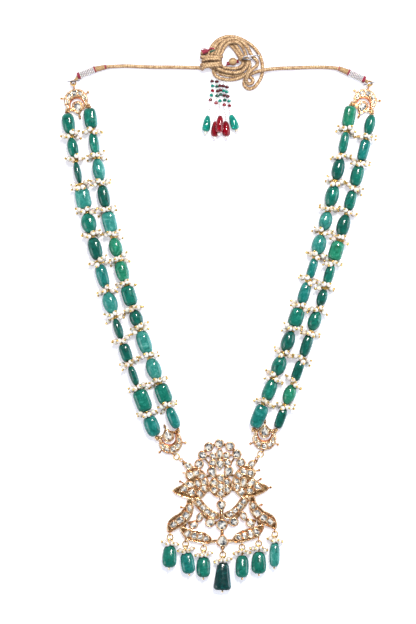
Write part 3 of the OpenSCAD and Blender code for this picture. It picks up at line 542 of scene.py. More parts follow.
# Outer ends of the cords: a sleeve up to the second mark, then a wound barrel
ENDS = [[(-87.6, 161.6), (-77.9, 165.5), (-71.2, 167)], [(88.6, 159.3), (79.4, 163.6), (73.4, 166)]]
END_Z = 2.4
TOP_EYES = [(-90.8, 155.2), (91.7, 155)]
EYE_TURN = [99, 75]
SLEEVE = [(0, 1.5), (0.2, 1.8), (8.9, 1.8), (9.3, 1.5)]
BARREL = [(0, 1.3), (0.3, 1.6), (6.2, 1.3), (6.8, 1.1)]


def whipping(s, c, way, r, mat, turns, wire):
    """Turns of thread side by side, with their middle at a point."""
    for k in range(turns):
        s.torus(c + unit(way) * (k - (turns - 1) / 2) * wire * 1.7, way, r, wire, mat, 22, 6)


def beads_round(s, a, b, r, bead, mat):
    """Seed beads wound on a sleeve in slanting rows."""
    m, length, slant = basis(b - a), np.linalg.norm(b - a), 0.22
    rows = int(length / (bead * 1.85))
    count = int(2 * pi * r / (bead * 2.02))
    for i in range(rows):
        for k in range(count):
            t = 2 * pi * (k + 0.5 * (i % 2)) / count
            h = bead + (length - 2 * bead) * i / max(rows - 1, 1) + slant * sin(t)
            p = a + m @ (h, r * cos(t), r * sin(t))
            s.ball(p, bead * rng.uniform(0.92, 1.04), mat, 8, 5, m[:, 0], 0.8)


def cord_end(k):
    a, b, c = (np.array((*p, END_Z)) for p in ENDS[k])
    way, on = unit(b - a), unit(c - b)
    s = Shape()
    # Dark core: painted shade showing in the gaps between the seed beads
    s.turned(a + way * 0.3, way, SLEEVE, SHADE_CORE)
    beads_round(s, a + way * 0.4, b - way * 0.3, 1.95, 0.56, SEED)
    for j in range(17):
        whipping(s, b + on * (0.5 + j * 0.36), on, 1.62 - 0.018 * j, YARN_FINE, 1, 0.24)
    s.turned(b, on, BARREL, YARN_FINE, 18)
    whipping(s, a, way, 1.95, CRIMSON, 3, 0.34)
    whipping(s, b, way, 1.85, CRIMSON, 2, 0.36)
    whipping(s, c, on, 1.25, CRIMSON, 2, 0.32)
    return s.make("sleeve_" + SIDES[k], "seed_bead", ("cord_end_" + SIDES[k],))


def thread_loop(k):
    """Loop of gold thread from the sleeve round the spacer's top eye, with wire rings in it."""
    back = np.append(towards(EYE_TURN[k]), 0)
    c = np.array((*TOP_EYES[k], 2.15)) + 1.9 * back
    mouth = np.array((*ENDS[k][0], END_Z))
    way = unit(mouth - c)
    across = np.cross(way, (0, 0, 1))
    s = Shape()
    for j in (-0.5, -0.1, 0.3, 0.7):
        s.torus(c + (0, 0, j), (0.3 * j, 0.25, 1), 1.5 + 0.2 * j, 0.42, YARN_FINE)
        s.torus(c - back * 1.2 + (0.2 * j, 0, 0.9 + 0.2 * j), (0.8 * j, 1, 0.4), 0.9, 0.34, WIRE, 20, 7)
    for j in (-1, 0, 1):
        s.tube(spline([c + way * 1.3 + across * 0.5 * j, c + way * 2.6 + across * 0.42 * j,
                       mouth + across * 0.5 * j]), 0.6, YARN_FINE)
    whipping(s, c + way * 2.2, way, 0.85, YARN_FINE, 3, 0.25)
    return s.make("thread_loop_" + SIDES[k], "cord", ("cord_loops",))


def slider_bead():
    """Bead of wound gold thread in the coil, with crimson ends."""
    hub, half_length, half_turns = np.array((7.6, 170.3, 2.75)), 2.2, 6
    ends = [np.array((4.9, 169.2, 2.4)), np.array((10.2, 170.4, 2.4))]
    way = unit(ends[1] - ends[0])
    s = Shape()
    for j in range(-half_turns, half_turns + 1):
        u = j / half_turns
        r = 2.35 * sqrt(1 - (u * 0.93) ** 2)
        whipping(s, hub + way * u * half_length, way, r - 0.15, YARN_FINE, 1, 0.34)
    s.ball(hub, 2.15, YARN_FINE, 20, 12, way)
    for p in ends:
        whipping(s, p, way, 0.9, CRIMSON, 3, 0.4)
        s.ball(p, 0.95, CRIMSON, 12, 8)
    s.tube(spline([ends[0] - way * 0.6, (3.6, 168.0, 2.0), (3.0, 166.8, 1.2)], 0.3), 0.3, CRIMSON, 6)
    return s.make("slider_bead", "cord", ("cord_slider",))


def thread_end():
    """Crimson and green thread on the left cord's far end."""
    tail = cord_paths[0][-9:]
    s = Shape()
    whipping(s, tail[3], tail[6] - tail[0], 1.2, CRIMSON, 4, 0.36)
    whipping(s, tail[-1], tail[-1] - tail[-4], 1.05, CRIMSON, 3, 0.42)
    for k in range(9):
        c, q = cos(k * 0.7), sin(k * 0.7)
        p = tail[-1] + (0.7 * c, 0.7 * q, 0.2)
        s.tube(spline([p, p + (c - 0.9, q + 0.4, -0.4), p + (c * 1.5 - 1.4, q * 1.2 + 0.2, -1.6)]),
               0.22, CRIMSON, 5)
    for k in range(5):
        p = np.array((-6.6 + 0.5 * k, 175.5 + 0.15 * k, 5.2))
        s.tube(spline([p, p + (0.5, 0.8, 0.3), p + (1.4, 1.0, -0.2)]), 0.25, GREEN_THREAD, 5)
    for k in range(3):
        s.tube(spline([(-7.6, 176.6 + 0.35 * k, 4.6), (-5.6, 177.8 + 0.3 * k, 5.5),
                       (-3.8, 177.3 + 0.3 * k, 5.3)]), 0.26, CRIMSON, 5)
    return s.make("thread_end", "cord")


def eye_wire(k):
    """Steel wire through a thread loop, further up than its solid, as in the photo."""
    turned, up = ((2, 2.9), (16, 1.5))[k]
    half = 3.8 * np.append(towards(turned), 0)
    p = np.array((TOP_EYES[k][0], TOP_EYES[k][1] + up, 3.7))
    s = Shape()
    s.tube([p - half, p - half * 0.3, p + half * 0.3, p + half], 0.36, STEEL)
    return s.make("eye_wire_" + SIDES[k], "steel", ("steel_wires",))


def knot_wire():
    """Hairpin of steel wire that lies on the knot."""
    s = Shape()
    s.tube(spline([(24.2, 173.5, 5.4), (19.8, 173.4, 5.9), (15.4, 172.8, 6.3), (14.0, 172.2, 6.4),
                   (14.2, 171.3, 6.2), (16.0, 171.2, 5.6), (19.5, 171.2, 5.6)], 0.5), 0.42, STEEL)
    return s.make("knot_wire", "steel", ("steel_wires",))


sleeves = [cord_end(k) for k in range(2)]
loops = [thread_loop(k) for k in range(2)]
slider = slider_bead()
fray = thread_end()
wires = [eye_wire(k) for k in range(2)]
on_cords = [[sleeves[0], loops[0], wires[0], fray], [sleeves[1], loops[1], wires[1], knot_wire(), slider]]

# Bead strings
# Middle and opening angle of each spacer
SPACERS = [(-89.4, 146.3, 283), (89.4, 146.3, 248), (-30.9, -65.1, 110), (27.2, -62.8, 88)]
# Name, upper and lower spacer, horn taken on each, and how far out the string bows
STRINGS = [("left_outer", 0, 2, -1, 1, -79), ("left_inner", 0, 2, 1, -1, -69),
           ("right_outer", 1, 3, 1, -1, 71), ("right_inner", 1, 3, -1, 1, 63.1)]
THREAD_Z, HORN_REACH, HORN_ANGLE, STRING_GAP = 4.1, 9.2, 50.5, 1.15
# Length, width, height and form of each bead, from the top of its string
# The lengths come from a scratch fit to bead middles picked on the photo, the rest by eye
BEADS = [
    [(12.6, 8.4, 7.6, 0), (12.2, 7.2, 7, 1), (13.4, 5, 7.2, 1), (13.1, 10.2, 7.8, 2), (12.4, 9.8, 7.6, 1),
     (13.9, 8.6, 7.6, 0), (14.6, 8, 7.6, 0), (13.7, 9.4, 7.8, 1), (13, 5.8, 7.4, 1), (11, 7.4, 7.2, 2),
     (12, 5.2, 6.8, 0), (13.6, 10.2, 7.8, 2), (12.6, 9.6, 7.8, 0)],
    [(12.8, 8.4, 7.6, 2), (13.4, 6.4, 7, 0), (14, 8.4, 7.6, 1), (13.7, 7.6, 7.4, 0), (13.7, 9, 7.6, 2),
     (12, 8.6, 7.6, 1), (12.6, 8.8, 7.6, 0), (12.3, 9.2, 7.6, 2), (10.4, 8.8, 7.4, 1), (14.5, 9.2, 7.8, 0),
     (13.3, 9.6, 7.8, 1), (12, 9.8, 7.8, 2), (12.9, 7, 7.2, 0)],
    [(13, 7, 7.2, 1), (13.3, 7, 7.2, 2), (13, 8.3, 7.6, 0), (12.6, 7.3, 7.4, 0), (13.9, 8.6, 7.6, 1),
     (12, 9, 7.6, 2), (12.5, 6.4, 7, 0), (11, 6.8, 7.2, 1), (12.2, 8.6, 7.6, 1), (13.7, 7.2, 7.2, 0),
     (12.2, 6.4, 7, 2), (12.1, 8.2, 7.4, 1), (12.4, 6, 6.8, 2)],
    [(13.6, 8.2, 7.6, 2), (13.5, 6, 6.8, 0), (14, 8.3, 7.6, 1), (14.4, 8.9, 7.8, 1), (11.8, 8.8, 7.6, 1),
     (12.3, 9.8, 7.8, 1), (12.1, 5.8, 6.8, 2), (13.3, 7.4, 7.4, 0), (11.6, 9.2, 7.8, 2), (13, 8.6, 7.6, 1),
     (12.2, 9.6, 7.8, 1), (13.1, 8.6, 7.6, 0), (14.2, 8.7, 7.8, 2)]]
M, D, L, B, T = "mid", "dark", "light", "bright", "teal"
# Look of each bead from the top of its string, charted
TONES = [[M, M, D, L, M, D, T, L, D, D, D, M, T], [M, M, L, D, L, B, B, M, D, L, L, M, T],
         [M, T, M, M, D, B, M, D, M, D, D, B, D], [B, M, D, M, L, L, T, T, M, D, M, M, T]]
# Half profile and roundness of the section for each form of bead
FORMS = [([(0, 0.42), (0.07, 0.74), (0.24, 0.94), (0.5, 1)], 2.4),
         ([(0, 0.34), (0.09, 0.66), (0.27, 0.91), (0.5, 1)], 2.25),
         ([(0, 0.52), (0.06, 0.82), (0.20, 0.97), (0.5, 1)], 3.0)]
# Pearls round each gap: angle from the thread's left side, and distance
PEARLS = [(-30, 4.5), (24, 3.9), (68, 3.5), (112, 3.5), (156, 3.9), (210, 4.5)]
TOP_Z, CLEAR = 9.5, 0.1


def horn(spacer, side):
    x, y, opening = SPACERS[spacer]
    return np.array((x, y)) + HORN_REACH * towards(opening + side * HORN_ANGLE)


def string_curve(k):
    _, upper, lower, upper_side, lower_side, bow = STRINGS[k]
    a, c = horn(upper, upper_side), horn(lower, lower_side)
    b = np.array((bow, (a[1] + c[1]) / 2))
    return lambda t: (1 - t) ** 2 * a + 2 * t * (1 - t) * b + t * t * c


def bead_ends(k):
    """Both ends of each bead on a string, as in the solids."""
    curve, steps = string_curve(k), 24
    points = [curve(i / steps) for i in range(steps + 1)]
    total = sum(np.linalg.norm(b - a) for a, b in zip(points, points[1:]))
    lengths = [bead[0] for bead in BEADS[k]]
    gap = (total - 2 * STRING_GAP - sum(lengths)) / (len(lengths) - 1)
    out, at = [], STRING_GAP
    for length in lengths:
        out.append([np.append(curve(d / total), THREAD_Z) for d in (at, at + length)])
        at += length + gap
    return out


def lift_in(p, r, top=inf):
    """Moves a ball's middle clear of the table and below the top."""
    p[2] = min(max(p[2], r + CLEAR), top - r)


def tumbled(s, o, m, size, profile, mat, seed, power, hole=0.5):
    """Tumbled bead along the first column of m, drilled, with soft uneven sides."""
    length, w, h = size
    sides, rows, fine_steps, window = 28, 24, 120, 11
    bore_depth, chamfer, lip, rounding = 1.2, 0.12, 0.16, 0.14
    draws = random.Random(seed)
    p1, p2, p3, p4 = (draws.uniform(0, 6.28) for _ in range(4))
    fine = np.linspace(0, 1, fine_steps + 1)
    f = np.interp(fine, *zip(*profile))
    f = np.convolve(np.pad(f, window // 2, mode="edge"), np.ones(window) / window, mode="valid")

    def bore(x, r):
        return hoop(o, m, x, r, sides)

    def skin(x, scale):
        out, u = [], x / length
        for a in angles(sides):
            c, q = cos(a), sin(a)
            rad = (abs(c) ** power + abs(q) ** power) ** (-1 / power)
            rad *= 1 + (0.030 * sin(2 * a + p1) * sin(2.4 * u + p2)
                        + 0.016 * sin(3 * a + p3 + 3 * u) + 0.012 * sin(5 * u + p4) - 0.03)
            out.append(o + m @ (x, w / 2 * scale * rad * c, h / 2 * scale * rad * q))
        return out

    rings = [bore(bore_depth, hole), bore(chamfer, hole), bore(0.0, hole + chamfer), skin(0.0, f[0] - lip)]
    for k in range(rows + 1):
        u = 0.5 - 0.5 * cos(pi * k / rows)
        inset = rounding * (k == 0) - rounding * (k == rows)
        rings.append(skin(u * length + inset, float(np.interp(u, fine, f))))
    rings += [skin(length, f[-1] - lip), bore(length, hole + chamfer),
              bore(length - chamfer, hole), bore(length - bore_depth, hole)]
    s.rings(rings, mat)


def bead_string(k, name, ends):
    s = Shape()
    for i, ((a, b), (_, w, h, form)) in enumerate(zip(ends, BEADS[k])):
        rise, power = FORMS[form]
        profile = rise + [(1 - x, y) for x, y in reversed(rise[:-1])]
        tumbled(s, a, basis(b - a), (np.linalg.norm(b - a), w, h), profile, EMERALDS[TONES[k][i]],
                100 * k + i, power)
    s.make("beads_" + name, "emerald", ("emeralds_" + name,))


def pearl_clusters(name, ends):
    """Gold rings in each gap, with pearls on head pins round them."""
    s = Shape()
    for (_, a), (b, _) in zip(ends, ends[1:]):
        c, m = (a + b) / 2, basis(b - a)
        for j in (-1.2, -0.75, -0.3, 0.3, 0.8, 1.25):
            leaning = m[:, 0] + rng.uniform(-0.15, 0.15) * m[:, 1]
            s.torus(c + m[:, 0] * j, leaning, 1.45 + 0.35 * rng.random(), 0.34, WIRE, 16, 6)
        for deg, dist in PEARLS:
            around = towards(deg + rng.uniform(-5, 5))
            way = m @ (rng.uniform(-0.5, 0.5), *around)
            across = np.cross(way, m[:, 0])
            p = c + way * dist * rng.uniform(0.96, 1.12)
            r = rng.uniform(1.5, 1.75)
            lift_in(p, r, TOP_Z)
            s.ball(p, r, PEARL, 14, 9, way, rng.uniform(0.88, 1.0), 0.04)
            head, head_r = p + way * (r + 0.45), rng.uniform(0.68, 0.86)
            lift_in(head, head_r, TOP_Z)
            s.tube([c + way * 0.8, head - way * 0.1], 0.24, WIRE, 6)
            s.ball(head, head_r, WIRE, 10, 7, way)
            s.torus(c + way * 1.6, across + 0.3 * m[:, 0], 0.75, 0.26, WIRE, 12, 5)
            s.torus(p - way * (r + 0.02), way, 0.6, 0.24, WIRE, 12, 5)
    s.make("pearl_clusters_" + name, "pearl", ("pearls_" + name,))


for k, (name, *_) in enumerate(STRINGS):
    bead_string(k, name, bead_ends(k))
    pearl_clusters(name, bead_ends(k))

# Pendant: its middle, its turn in the photo, and the height of the rings that its drops hang on
PENDANT, TURN, LINK_Z = np.array((0.1, -92.1, 0.0)), 1.8, 1.6
RINGS = [(-32.3, -30.8), (-22.8, -35.2), (-11.7, -38.4), (0, -42.6), (12, -38.4), (22.4, -36.4),
         (32.6, -31)]
# Length, width, height and lean of each drop, and whether it is the bell-shaped one
DROPS = [(13.4, 9.2, 6.2, -4, 0), (13.2, 9, 6, 6, 0), (12.6, 9, 6.2, -3, 0), (16.6, 11.8, 7, -3, 1),
         (13.4, 8.8, 6.2, -2, 0), (13.4, 9.4, 6.2, -2, 0), (14.8, 6.6, 5.8, -4, 0)]
DROP_TONES = [M, T, M, "bell", M, M, L]
DROP_TOP = 3.0
DROP_PROFILE = [(0, 0.40), (0.06, 0.70), (0.2, 0.92), (0.5, 1), (0.8, 0.97), (0.94, 0.78), (1, 0.42)]
BELL_PROFILE = [(0, 0.46), (0.05, 0.60), (0.3, 0.74), (0.6, 0.88), (0.88, 1), (0.97, 0.88), (1, 0.62)]
CAP = [(0, 0.5), (0.1, 1.2), (0.3, 1.3), (0.42, 0.6)]


def in_pendant(x, y, z):
    return PENDANT + turn("Z", TURN) @ (x, y, z)


def half(sign):
    """Place on one half of the pendant; the sign -1 mirrors it."""
    return lambda x, y, z: in_pendant(sign * x, y, z)


def emerald_drop(i):
    """One drop, pitched so that it clears the table, with its pins."""
    length, w, h, lean, bell = DROPS[i]
    profile, power = (BELL_PROFILE, 2.7) if bell else (DROP_PROFILE, 2.4)
    pitch = max(degrees(asin((h * q / 2 + 0.15 - LINK_Z) / (DROP_TOP + x * length)))
                for x, q in profile)
    m = turn("Z", TURN) @ turn("Z", -90 + lean) @ turn("Y", -pitch)
    o = in_pendant(RINGS[i][0], RINGS[i][1] - 2.1, LINK_Z)
    s = Shape()
    tumbled(s, o + m @ (DROP_TOP, 0, 0), m, (length, w, h), profile, EMERALDS[DROP_TONES[i]],
            900 + i, power, 0.45)
    s.make("emerald_drop_%d" % (i + 1), "emerald", ("drop_%d" % (i + 1),))
    pin_set(i, o, m)


def pin_set(i, o, m):
    """Ring, head pin, gold cap and pearls of one drop."""
    length, w, _, _, bell = DROPS[i]
    d = m[:, 0]
    crown = o + d * 1.6
    s = Shape()
    s.torus(o, m[:, 2], 1.15, 0.33, WIRE, 22, 8)
    s.tube([o + d * 1.1, o + d * (length + 3.5)], 0.28, WIRE)
    for j in range(3):
        s.torus(o + d * (1.35 + 0.5 * j), d, 0.5, 0.22, WIRE, 14, 6)
    s.turned(o + d * (DROP_TOP - 0.25), d, CAP, GOLD, 16)
    s.ball(o + d * (length + 3.8), 0.72, GOLD)
    reach = 3.7 if w > 7 else 3.1
    for a in (-14, 22, 66, 114, 158, 194):
        way = m @ (0.12 * sin(a), *towards(a))
        p = o + d * (1.6 + 0.9 * sin(2.1 * a + i)) + way * reach
        r = rng.uniform(1.42, 1.62)
        lift_in(p, r)
        s.ball(p, r, PEARL, 14, 9, way, 0.95, 0.03)
        head, head_r = p + way * 1.75, rng.uniform(0.6, 0.72)
        lift_in(head, head_r)
        s.tube([crown, head], 0.24, WIRE, 6)
        s.ball(head, head_r, WIRE, 10, 7)
        s.torus(crown + way * 1.15, np.cross(way, d), 0.45, 0.18, WIRE, 12, 5)
    if bell:
        for j in range(5):
            seed_at = o + m @ (2.75, -2.2 + 1.1 * j, 1.15 - 0.12 * (j - 2) ** 2)
            s.ball(seed_at, 0.5, (STEEL, SEED)[j % 2], 10, 7)
    s.make("pin_set_%d" % (i + 1), "pearl", ("pin_%d" % (i + 1),))


for i in range(len(DROPS)):
    emerald_drop(i)

# Settings of one half of the pendant: x, y, length, width, turn, and outline, which is
# 0 round, 1 a drop, 2 a leaf or 3 a bar with cut corners
SETTINGS = [
    (6.6, 24.4, 4.2, 4.2, 0, 0), (10.6, 19.4, 4.2, 4.2, 0, 0), (12.9, 14, 4.2, 4.2, 0, 0),
    (4, 18.6, 3.8, 3, 35, 2), (4.7, 14.2, 4, 3, -25, 2), (4.9, 8.6, 5.6, 3.8, -110, 1),
    (3.984, 2.3, 3.2, 3.2, 30, 0), (3.984, -2.3, 3.2, 3.2, -30, 0), (18.6, 7.4, 3.6, 3.4, 20, 0),
    (14.7, 8.6, 3.2, 2.6, 165, 3), (11.5, 6.2, 3, 2.4, 130, 3), (10, 2.8, 3, 2.4, 95, 3),
    (10.4, -1, 3, 2.4, 80, 3), (12.9, -4.2, 3.2, 2.6, 40, 3), (14.2, 1.9, 4.8, 2.4, 75, 2),
    (18.9, 1.4, 4.6, 2.8, 15, 2), (23, -1.4, 4.2, 2.8, -20, 1), (17.9, -3.4, 3.6, 2.8, 10, 0),
    (19.6, 13, 4.6, 2.6, 40, 2), (13.7, -10, 3, 2.4, 52, 3), (11.3, -13, 3, 2.4, 48, 3),
    (8.5, -15.6, 3, 2.4, 40, 3), (5.3, -17.7, 3, 2.4, 30, 3), (19.7, -13, 4.2, 2.6, -80, 2),
    (22, -17.4, 3.6, 3.2, -55, 3), (25.9, -20.4, 3.6, 3.2, -35, 3), (30, -22.9, 3.4, 2.8, -45, 3),
    (13.6, -19, 4.4, 2.8, 105, 2), (17.6, -23.6, 4.2, 3, -10, 0), (7.4, -22.4, 4.4, 4, 0, 0),
    (21.2, -28.9, 3.6, 2.8, -30, 3), (17.4, -30.2, 3.4, 3, -12, 3), (13.7, -31, 3.2, 2.8, -12, 3),
    (10.3, -32.2, 3, 2.4, -25, 3)]
MIDDLE = [
    (0, 26.2, 4.2, 4.2, 0, 0), (0, 19.8, 5, 3, 90, 2), (0, 13.4, 4.8, 3.6, -90, 1), (0, 0, 3.4, 3.4, 0, 0),
    (0, 4.6, 3.2, 3.2, 90, 0), (0, -4.6, 3.2, 3.2, -90, 0), (0, -12.1, 5, 3.8, -90, 1),
    (0, -23.9, 5.4, 5.4, 0, 0), (0, -33.8, 5.8, 5.2, 90, 1)]
SPACER_SETTINGS = [(-4.45, 0, 3, 2.8, 90, 3), (-3.5, -3.6, 3, 2.2, 134, 3), (-3.5, 3.6, 3, 2.2, 46, 3),
                   (-0.6, -5.4, 2.8, 1.3, 175, 3), (-0.6, 5.4, 2.8, 1.3, 5, 3), (4.7, 0, 5.6, 3.8, 0, 1)]
# Looks for the crown facets, chosen at random; the grey and dark ones are painted shade and reflections
CROWN = (STONE, STONE, STONE, STONE_GREY_SHADE, STONE_DARK_SHADE)


def outline(kind, length, w, grow):
    """Outline of a stone or bezel, as in the solids."""
    a, b = length / 2 + grow, w / 2 + grow
    if kind == 3:
        p = [(a, b * 0.55), (a * 0.7, b), (-a * 0.7, b), (-a, b * 0.55)]
        return p + [(x, -y) for x, y in reversed(p)]
    out = []
    for i in range(10):
        c, q = towards(36 * i)
        k = (1, 1 - 0.42 * c, 0.72 + 0.28 * q * q)[kind]
        out.append((a * c, b * q * k))
    return out


def setting_ring(place, setting, grow, z, steps=1):
    """Outline of a setting, grown by a margin, at a height on its piece."""
    x, y, length, w, deg, kind = setting
    c, q = towards(deg)
    return [place(x + u * c - v * q, y + u * q + v * c, z)
            for u, v in closed_curve(outline(kind, length, w, grow), steps)]


def bezel(s, place, setting):
    """Rounded rim round one stone, and a line of red gold at its foot, which is also painted shade in the
    crevice between rim and plate.
    """
    s.closed_tube(setting_ring(place, setting, 0.34, 3.0, 2), 0.46, GOLD, 7, 0.75)
    s.closed_tube(setting_ring(place, setting, 0.74, 2.42, 2), 0.22, RED_GOLD, 5)


def cut_stone(s, place, setting):
    """Stone with a table and a ring of crown facets, with painted shade and reflections: facets and table
    round a side picked at random are dark or grey, the other facets white, grey or dark at random, and the
    sides below the crown dark.
    """
    low, mid = setting_ring(place, setting, 0.3, 2.45), setting_ring(place, setting, 0.16, 2.8)
    top = setting_ring(place, setting, -0.26 * min(setting[2:4]), 3.12)
    n = len(low)
    s.rings([low, mid], STONE_DARK_SHADE, caps=False)
    darkest = rng.randrange(n)
    for i in range(n):
        j = (i + 1) % n
        away = min((i - darkest) % n, (darkest - i) % n)
        look = (STONE_DARK_SHADE, STONE_GREY_SHADE)[away] if away < 2 else CROWN[rng.randrange(len(CROWN))]
        s.add([mid[i], mid[j], top[j], top[i]], [(0, 1, 2, 3)], [look])
    hub = sum(top) / n + (0, 0, 0.02)
    for i in range(n):
        look = STONE_GREY_SHADE if (i - darkest) % n < 3 else STONE
        s.add([hub, top[i], top[(i + 1) % n]], [(0, 1, 2)], [look])


def cut_stones(name, replaces, seats):
    """One piece of the stones on these seats, each a place function with its settings."""
    s = Shape()
    for place, settings in seats:
        for setting in settings:
            cut_stone(s, place, setting)
    s.make("cut_stones_" + name, "kundan_stone", replaces, smooth=False)


# Rims of one half: bird, outer wing, lower wing and the stem along the bird's foot
BODIES = [
    [(16.4, 12), (11.5, 9.6), (8.3, 5), (7.8, 0), (9.8, -4.4), (13.6, -7.2), (21.4, -6.4), (29.2, -2.2),
     (23.2, 1.4), (19.8, 4.2), (21.4, 7.2), (19.8, 10.6)],
    [(18.2, -8), (20.4, -8.2), (21.8, -12), (25.8, -16.2), (31.2, -19.4), (33.4, -23.4), (32.9, -27.2),
     (29.4, -25.8), (24.2, -23.2), (20.2, -19.6), (17.9, -14.4)],
    [(25.6, -25.4), (20, -26.4), (13.6, -28), (8.8, -30.4), (6.6, -33.8), (9.4, -35), (16, -33.8),
     (22.2, -31.4)],
    [(16.9, -7.4), (13, -8), (9.2, -12.4), (5.4, -15.6), (1.6, -17.4), (2.2, -19.6), (6.8, -19.8),
     (11.4, -16.2), (15.6, -11.4)]]
# Feather lines and grains between the stones of one half, and straight stems
FEATHERS = [((12.6, 8.4), (16.8, 5.4)), ((12.4, 4.6), (16.8, 4.2)), ((11.8, -2.6), (16.4, -0.4)),
            ((15.4, -5.6), (20.8, -4.6)), ((20.4, -4.2), (26.2, -2.6))]
GRAINS = [
    (16.4, 6.8), (12.3, 1.2), (16.8, -0.9), (21, 3.6), (20.7, -0.6), (15.1, -2.4), (8.2, 0.2),
    (20.9, -14.9), (24, -18.9), (28.1, -22), (19.3, -29.6), (15.6, -30.6), (12, -31.8)]
STEMS = [((0, -7.4), (0, -9.3)), ((0, -14.9), (0, -20.8)), ((0, -27), (0, -30.6)), ((0, -37), (0, -40.6)),
         ((-6.4, -34.8), (-3.3, -34.4)), ((3.3, -34.4), (6.4, -34.8))]
PLATE_Z = 2.5


def bezel_rims():
    s = Shape()
    for place in (half(1), half(-1)):
        for setting in SETTINGS:
            bezel(s, place, setting)
        for body in BODIES:
            rim = grown(closed_curve(body, 4), 0.2)
            s.closed_tube([place(x, y, 2.55) for x, y in rim], 0.5, GOLD)
        for (x1, y1), (x2, y2) in FEATHERS:
            middle = place((x1 + x2) / 2, (y1 + y2) / 2 + 0.4, 2.62)
            s.tube(spline([place(x1, y1, PLATE_Z), middle, place(x2, y2, PLATE_Z)], 0.6), 0.22, GOLD, 6)
        for x, y in GRAINS:
            s.ball(place(x, y, PLATE_Z), 0.36, GOLD, 10, 6)
    for setting in MIDDLE:
        bezel(s, in_pendant, setting)
    for a in range(30, 390, 60):
        s.ball(in_pendant(*(2.45 * towards(a)), PLATE_Z), 0.42, GOLD, 10, 6)
    s.closed_tube([in_pendant(*(7.0 * towards(a)), PLATE_Z) for a in range(0, 360, 8)], 0.36, GOLD)
    for a, b in STEMS:
        s.tube([in_pendant(*a, 2.42), in_pendant(*b, 2.42)], 0.46, GOLD)
    s.make("bezel_rims", "gold")


bezel_rims()
groups = ("fan", "flower", "rosette", "bird_left", "bird_right", "bars", "wings", "settings", "leaves")
cut_stones("pendant", ["stones_" + group for group in groups],
           [(half(1), SETTINGS), (half(-1), SETTINGS), (in_pendant, MIDDLE)])

# Spacers: rims, red gold inside the crescent, studs at its tips, pearls outside it
SPACER_NAMES = ("top_left", "top_right", "low_left", "low_right")
HOLLOW_X, HOLLOW_R = 2.9, 5.1
# Angle from the opening, distance and radius of each stud at a tip
STUDS = [(46, 7.2, 0.8), (58, 7.2, 0.6), (37, 7.0, 0.55)]
ROW_R, ROW_Z, EYELETS_AT = 7.25, 1.5, (112, 180, 248)


def on_spacer(k):
    """Place on one spacer."""
    x0, y0, opening = SPACERS[k]
    m = turn("Z", opening)
    return lambda x, y, z: np.array((x0, y0, 0)) + m @ (x, y, z)


def arc(place, x, r, z, start, end):
    """Points on a round line about a middle at x, every six degrees."""
    points = [r * towards(a) for a in range(start, end, 6)]
    return [place(x + u, v, z) for u, v in points]


def spacer_trim(name, place):
    s = Shape()
    for setting in SPACER_SETTINGS:
        bezel(s, place, setting)
    pear = closed_curve(outline(1, 5.6, 3.8, 1.2), 4)
    s.closed_tube([place(4.7 + u, v, 2.75) for u, v in pear], 0.3, GOLD)
    s.tube(arc(place, 0, 6.4, 2.6, 52, 309), 0.55, GOLD)
    s.tube(arc(place, HOLLOW_X - 0.25, HOLLOW_R, 2.62, 74, 287), 0.36, GOLD)
    s.tube(arc(place, HOLLOW_X, 0.93 * HOLLOW_R, 2.2, 74, 287), 0.34, RED_GOLD)
    s.tube(arc(place, HOLLOW_X, 0.83 * HOLLOW_R, 1.9, 86, 275), 0.26, RED_GOLD, 6)
    for side in (-1, 1):
        for a, dist, r in STUDS:
            s.ball(place(*(dist * towards(side * a)), 2.7), r, GOLD, 12, 8)
    for a in range(66, 296, 6):
        if min(abs(a - eyelet) for eyelet in EYELETS_AT) > 5:
            z = ROW_Z + 0.06 * sin(a)
            s.ball(place(*(ROW_R * towards(a)), z), 0.46, PEARL, 10, 7)
    s.tube(arc(place, 0, ROW_R, ROW_Z, 60, 301), 0.14, WIRE, 6)
    s.make("spacer_trim_" + name, "gold")


for k, name in enumerate(SPACER_NAMES):
    place = on_spacer(k)
    spacer_trim(name, place)
    cut_stones(name, ("spacer_stones_" + name,), [(place, SPACER_SETTINGS)])

# Tassel: x, y, length, lean and height of each glass drop, and whether it is red
TASSEL = [
    (-7.8, 136.9, 10, -8, 2.7, 0), (-3.1, 133.4, 9.6, -3, 2.7, 1), (-0.2, 136.4, 10.4, -4, 7, 1),
    (3.1, 133.6, 9.6, 3, 2.7, 1), (6.3, 137.4, 9.8, 20, 2.7, 0)]
TOPS = [164.95, 164.75, 163.2, 162, 161.37]
# Beads from the fifth one down on each string; all the others are white
BANDS = ["KWGWRWGWR", "KWDWKWDWWR", "WKWKWDWWG", "KWGWKWDWR", "KWGWKWGWR"]
BAND_START, BEAD_PITCH = 4, 1.42
BEAD_LOOKS = {"K": DARK_RED, "R": RED, "D": DARK_GREEN, "G": GREEN, "W": SEED}
BEAD_PROFILE = [(0, 0.25), (0.08, 0.82), (0.3, 1), (0.7, 1), (0.92, 0.82), (1, 0.25)]
# Share of the length, and radius
GLASS_PROFILE = [(0, 0.2), (0.02, 1.0), (0.08, 1.4), (0.16, 1.72), (0.3, 2.1), (0.46, 2.35), (0.62, 2.5),
                 (0.76, 2.54), (0.86, 2.42), (0.94, 2.05), (0.985, 1.3), (1, 0.3)]


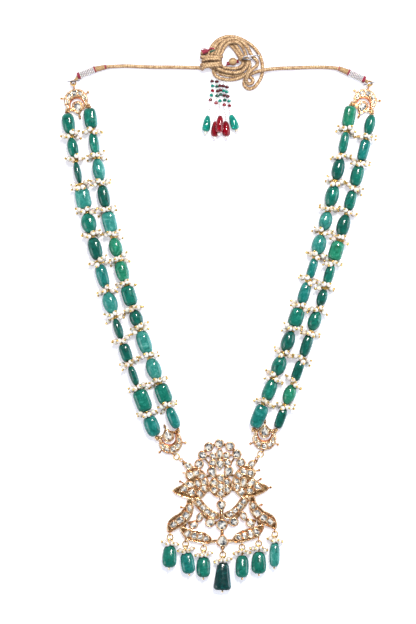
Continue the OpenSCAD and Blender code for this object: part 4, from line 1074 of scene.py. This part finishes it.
def tassel_string(s, k):
    """Beads on one string, down to its glass drop; the middle string lies over the others."""
    x, y, _, _, z, _ = TASSEL[k]
    over = k == 2
    path = spline([(x * 0.62, TOPS[k], 1.2), (x * 0.7, 150, 2.6 if over else 1.3), (x, y + 0.6, z)], 0.1)
    path[:, 0] += 0.35 * np.sin(path[:, 1] * 0.5 + k)
    run = runs(path)

    def at(d):
        return np.array([np.interp(d, run, path[:, axis]) for axis in range(3)])

    n = int(run[-1] / BEAD_PITCH)
    codes = ("W" * BAND_START + BANDS[k]).ljust(n, "W")
    for j in range(n):
        d = (j + 0.5) * run[-1] / n
        p, way = at(d), at(d + 0.3) - at(d)
        r, tall = (rng.uniform(0.62, 0.72), 1.1) if codes[j] == "W" else (1.26, 1.62)
        s.turned(p - unit(way) * tall / 2, way, [(u * tall, r * v) for u, v in BEAD_PROFILE],
                 BEAD_LOOKS[codes[j]], 12)
    s.tube(path[::8], 0.16, SEED, 6)


def glass_drop(s, beads, k):
    """Glass drop, and the pearl and pin head below it."""
    x, y, length, lean, z, red = TASSEL[k]
    m, o = turn("Z", -90 + lean), np.array((x, y, z))
    down = (0, 0, 1.8 * (z > 4))
    s.turned(o, m[:, 0], [(u * length, r) for u, r in GLASS_PROFILE], (GREEN_GLASS, RED_GLASS)[red], 24)
    beads.ball(o + m @ (length + 0.75, 0, 0) - down, 1.15, PEARL, 12, 8)
    beads.ball(o + m @ (length + 1.75, 0, 0) - down, 0.3, GOLD, 8, 6)


beads, green_drops, red_drops = Shape(), Shape(), Shape()
for k, (*_, red) in enumerate(TASSEL):
    tassel_string(beads, k)
    glass_drop((green_drops, red_drops)[red], beads, k)
on_cords[1] += [beads.make("tassel_beads", "seed_bead", ("tassel_strings",)),
                green_drops.make("glass_drops_green", "green_glass", ("tassel_green_drops",)),
                red_drops.make("glass_drops_red", "red_glass", ("tassel_red_drops",))]

for k, (far_end, lay) in enumerate((("bare", "loose"), ("knot", "coiled"))):
    path = cord_paths[k]

# Looks of the solids that stay, by the start of their names
# The frames take the darker gold, painted shade of the field between the stones
LOOKS = {"spacer_": GOLD_PLATE_SHADED, "pendant_frame": GOLD_PLATE_SHADED, "link_rings": WIRE,
         "jump_rings": WIRE, "thread_": YARN_FINE}
for node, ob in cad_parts.items():
    for start, mat in LOOKS.items():
        if node.startswith(start):
            ob.material_slots[0].material = mat
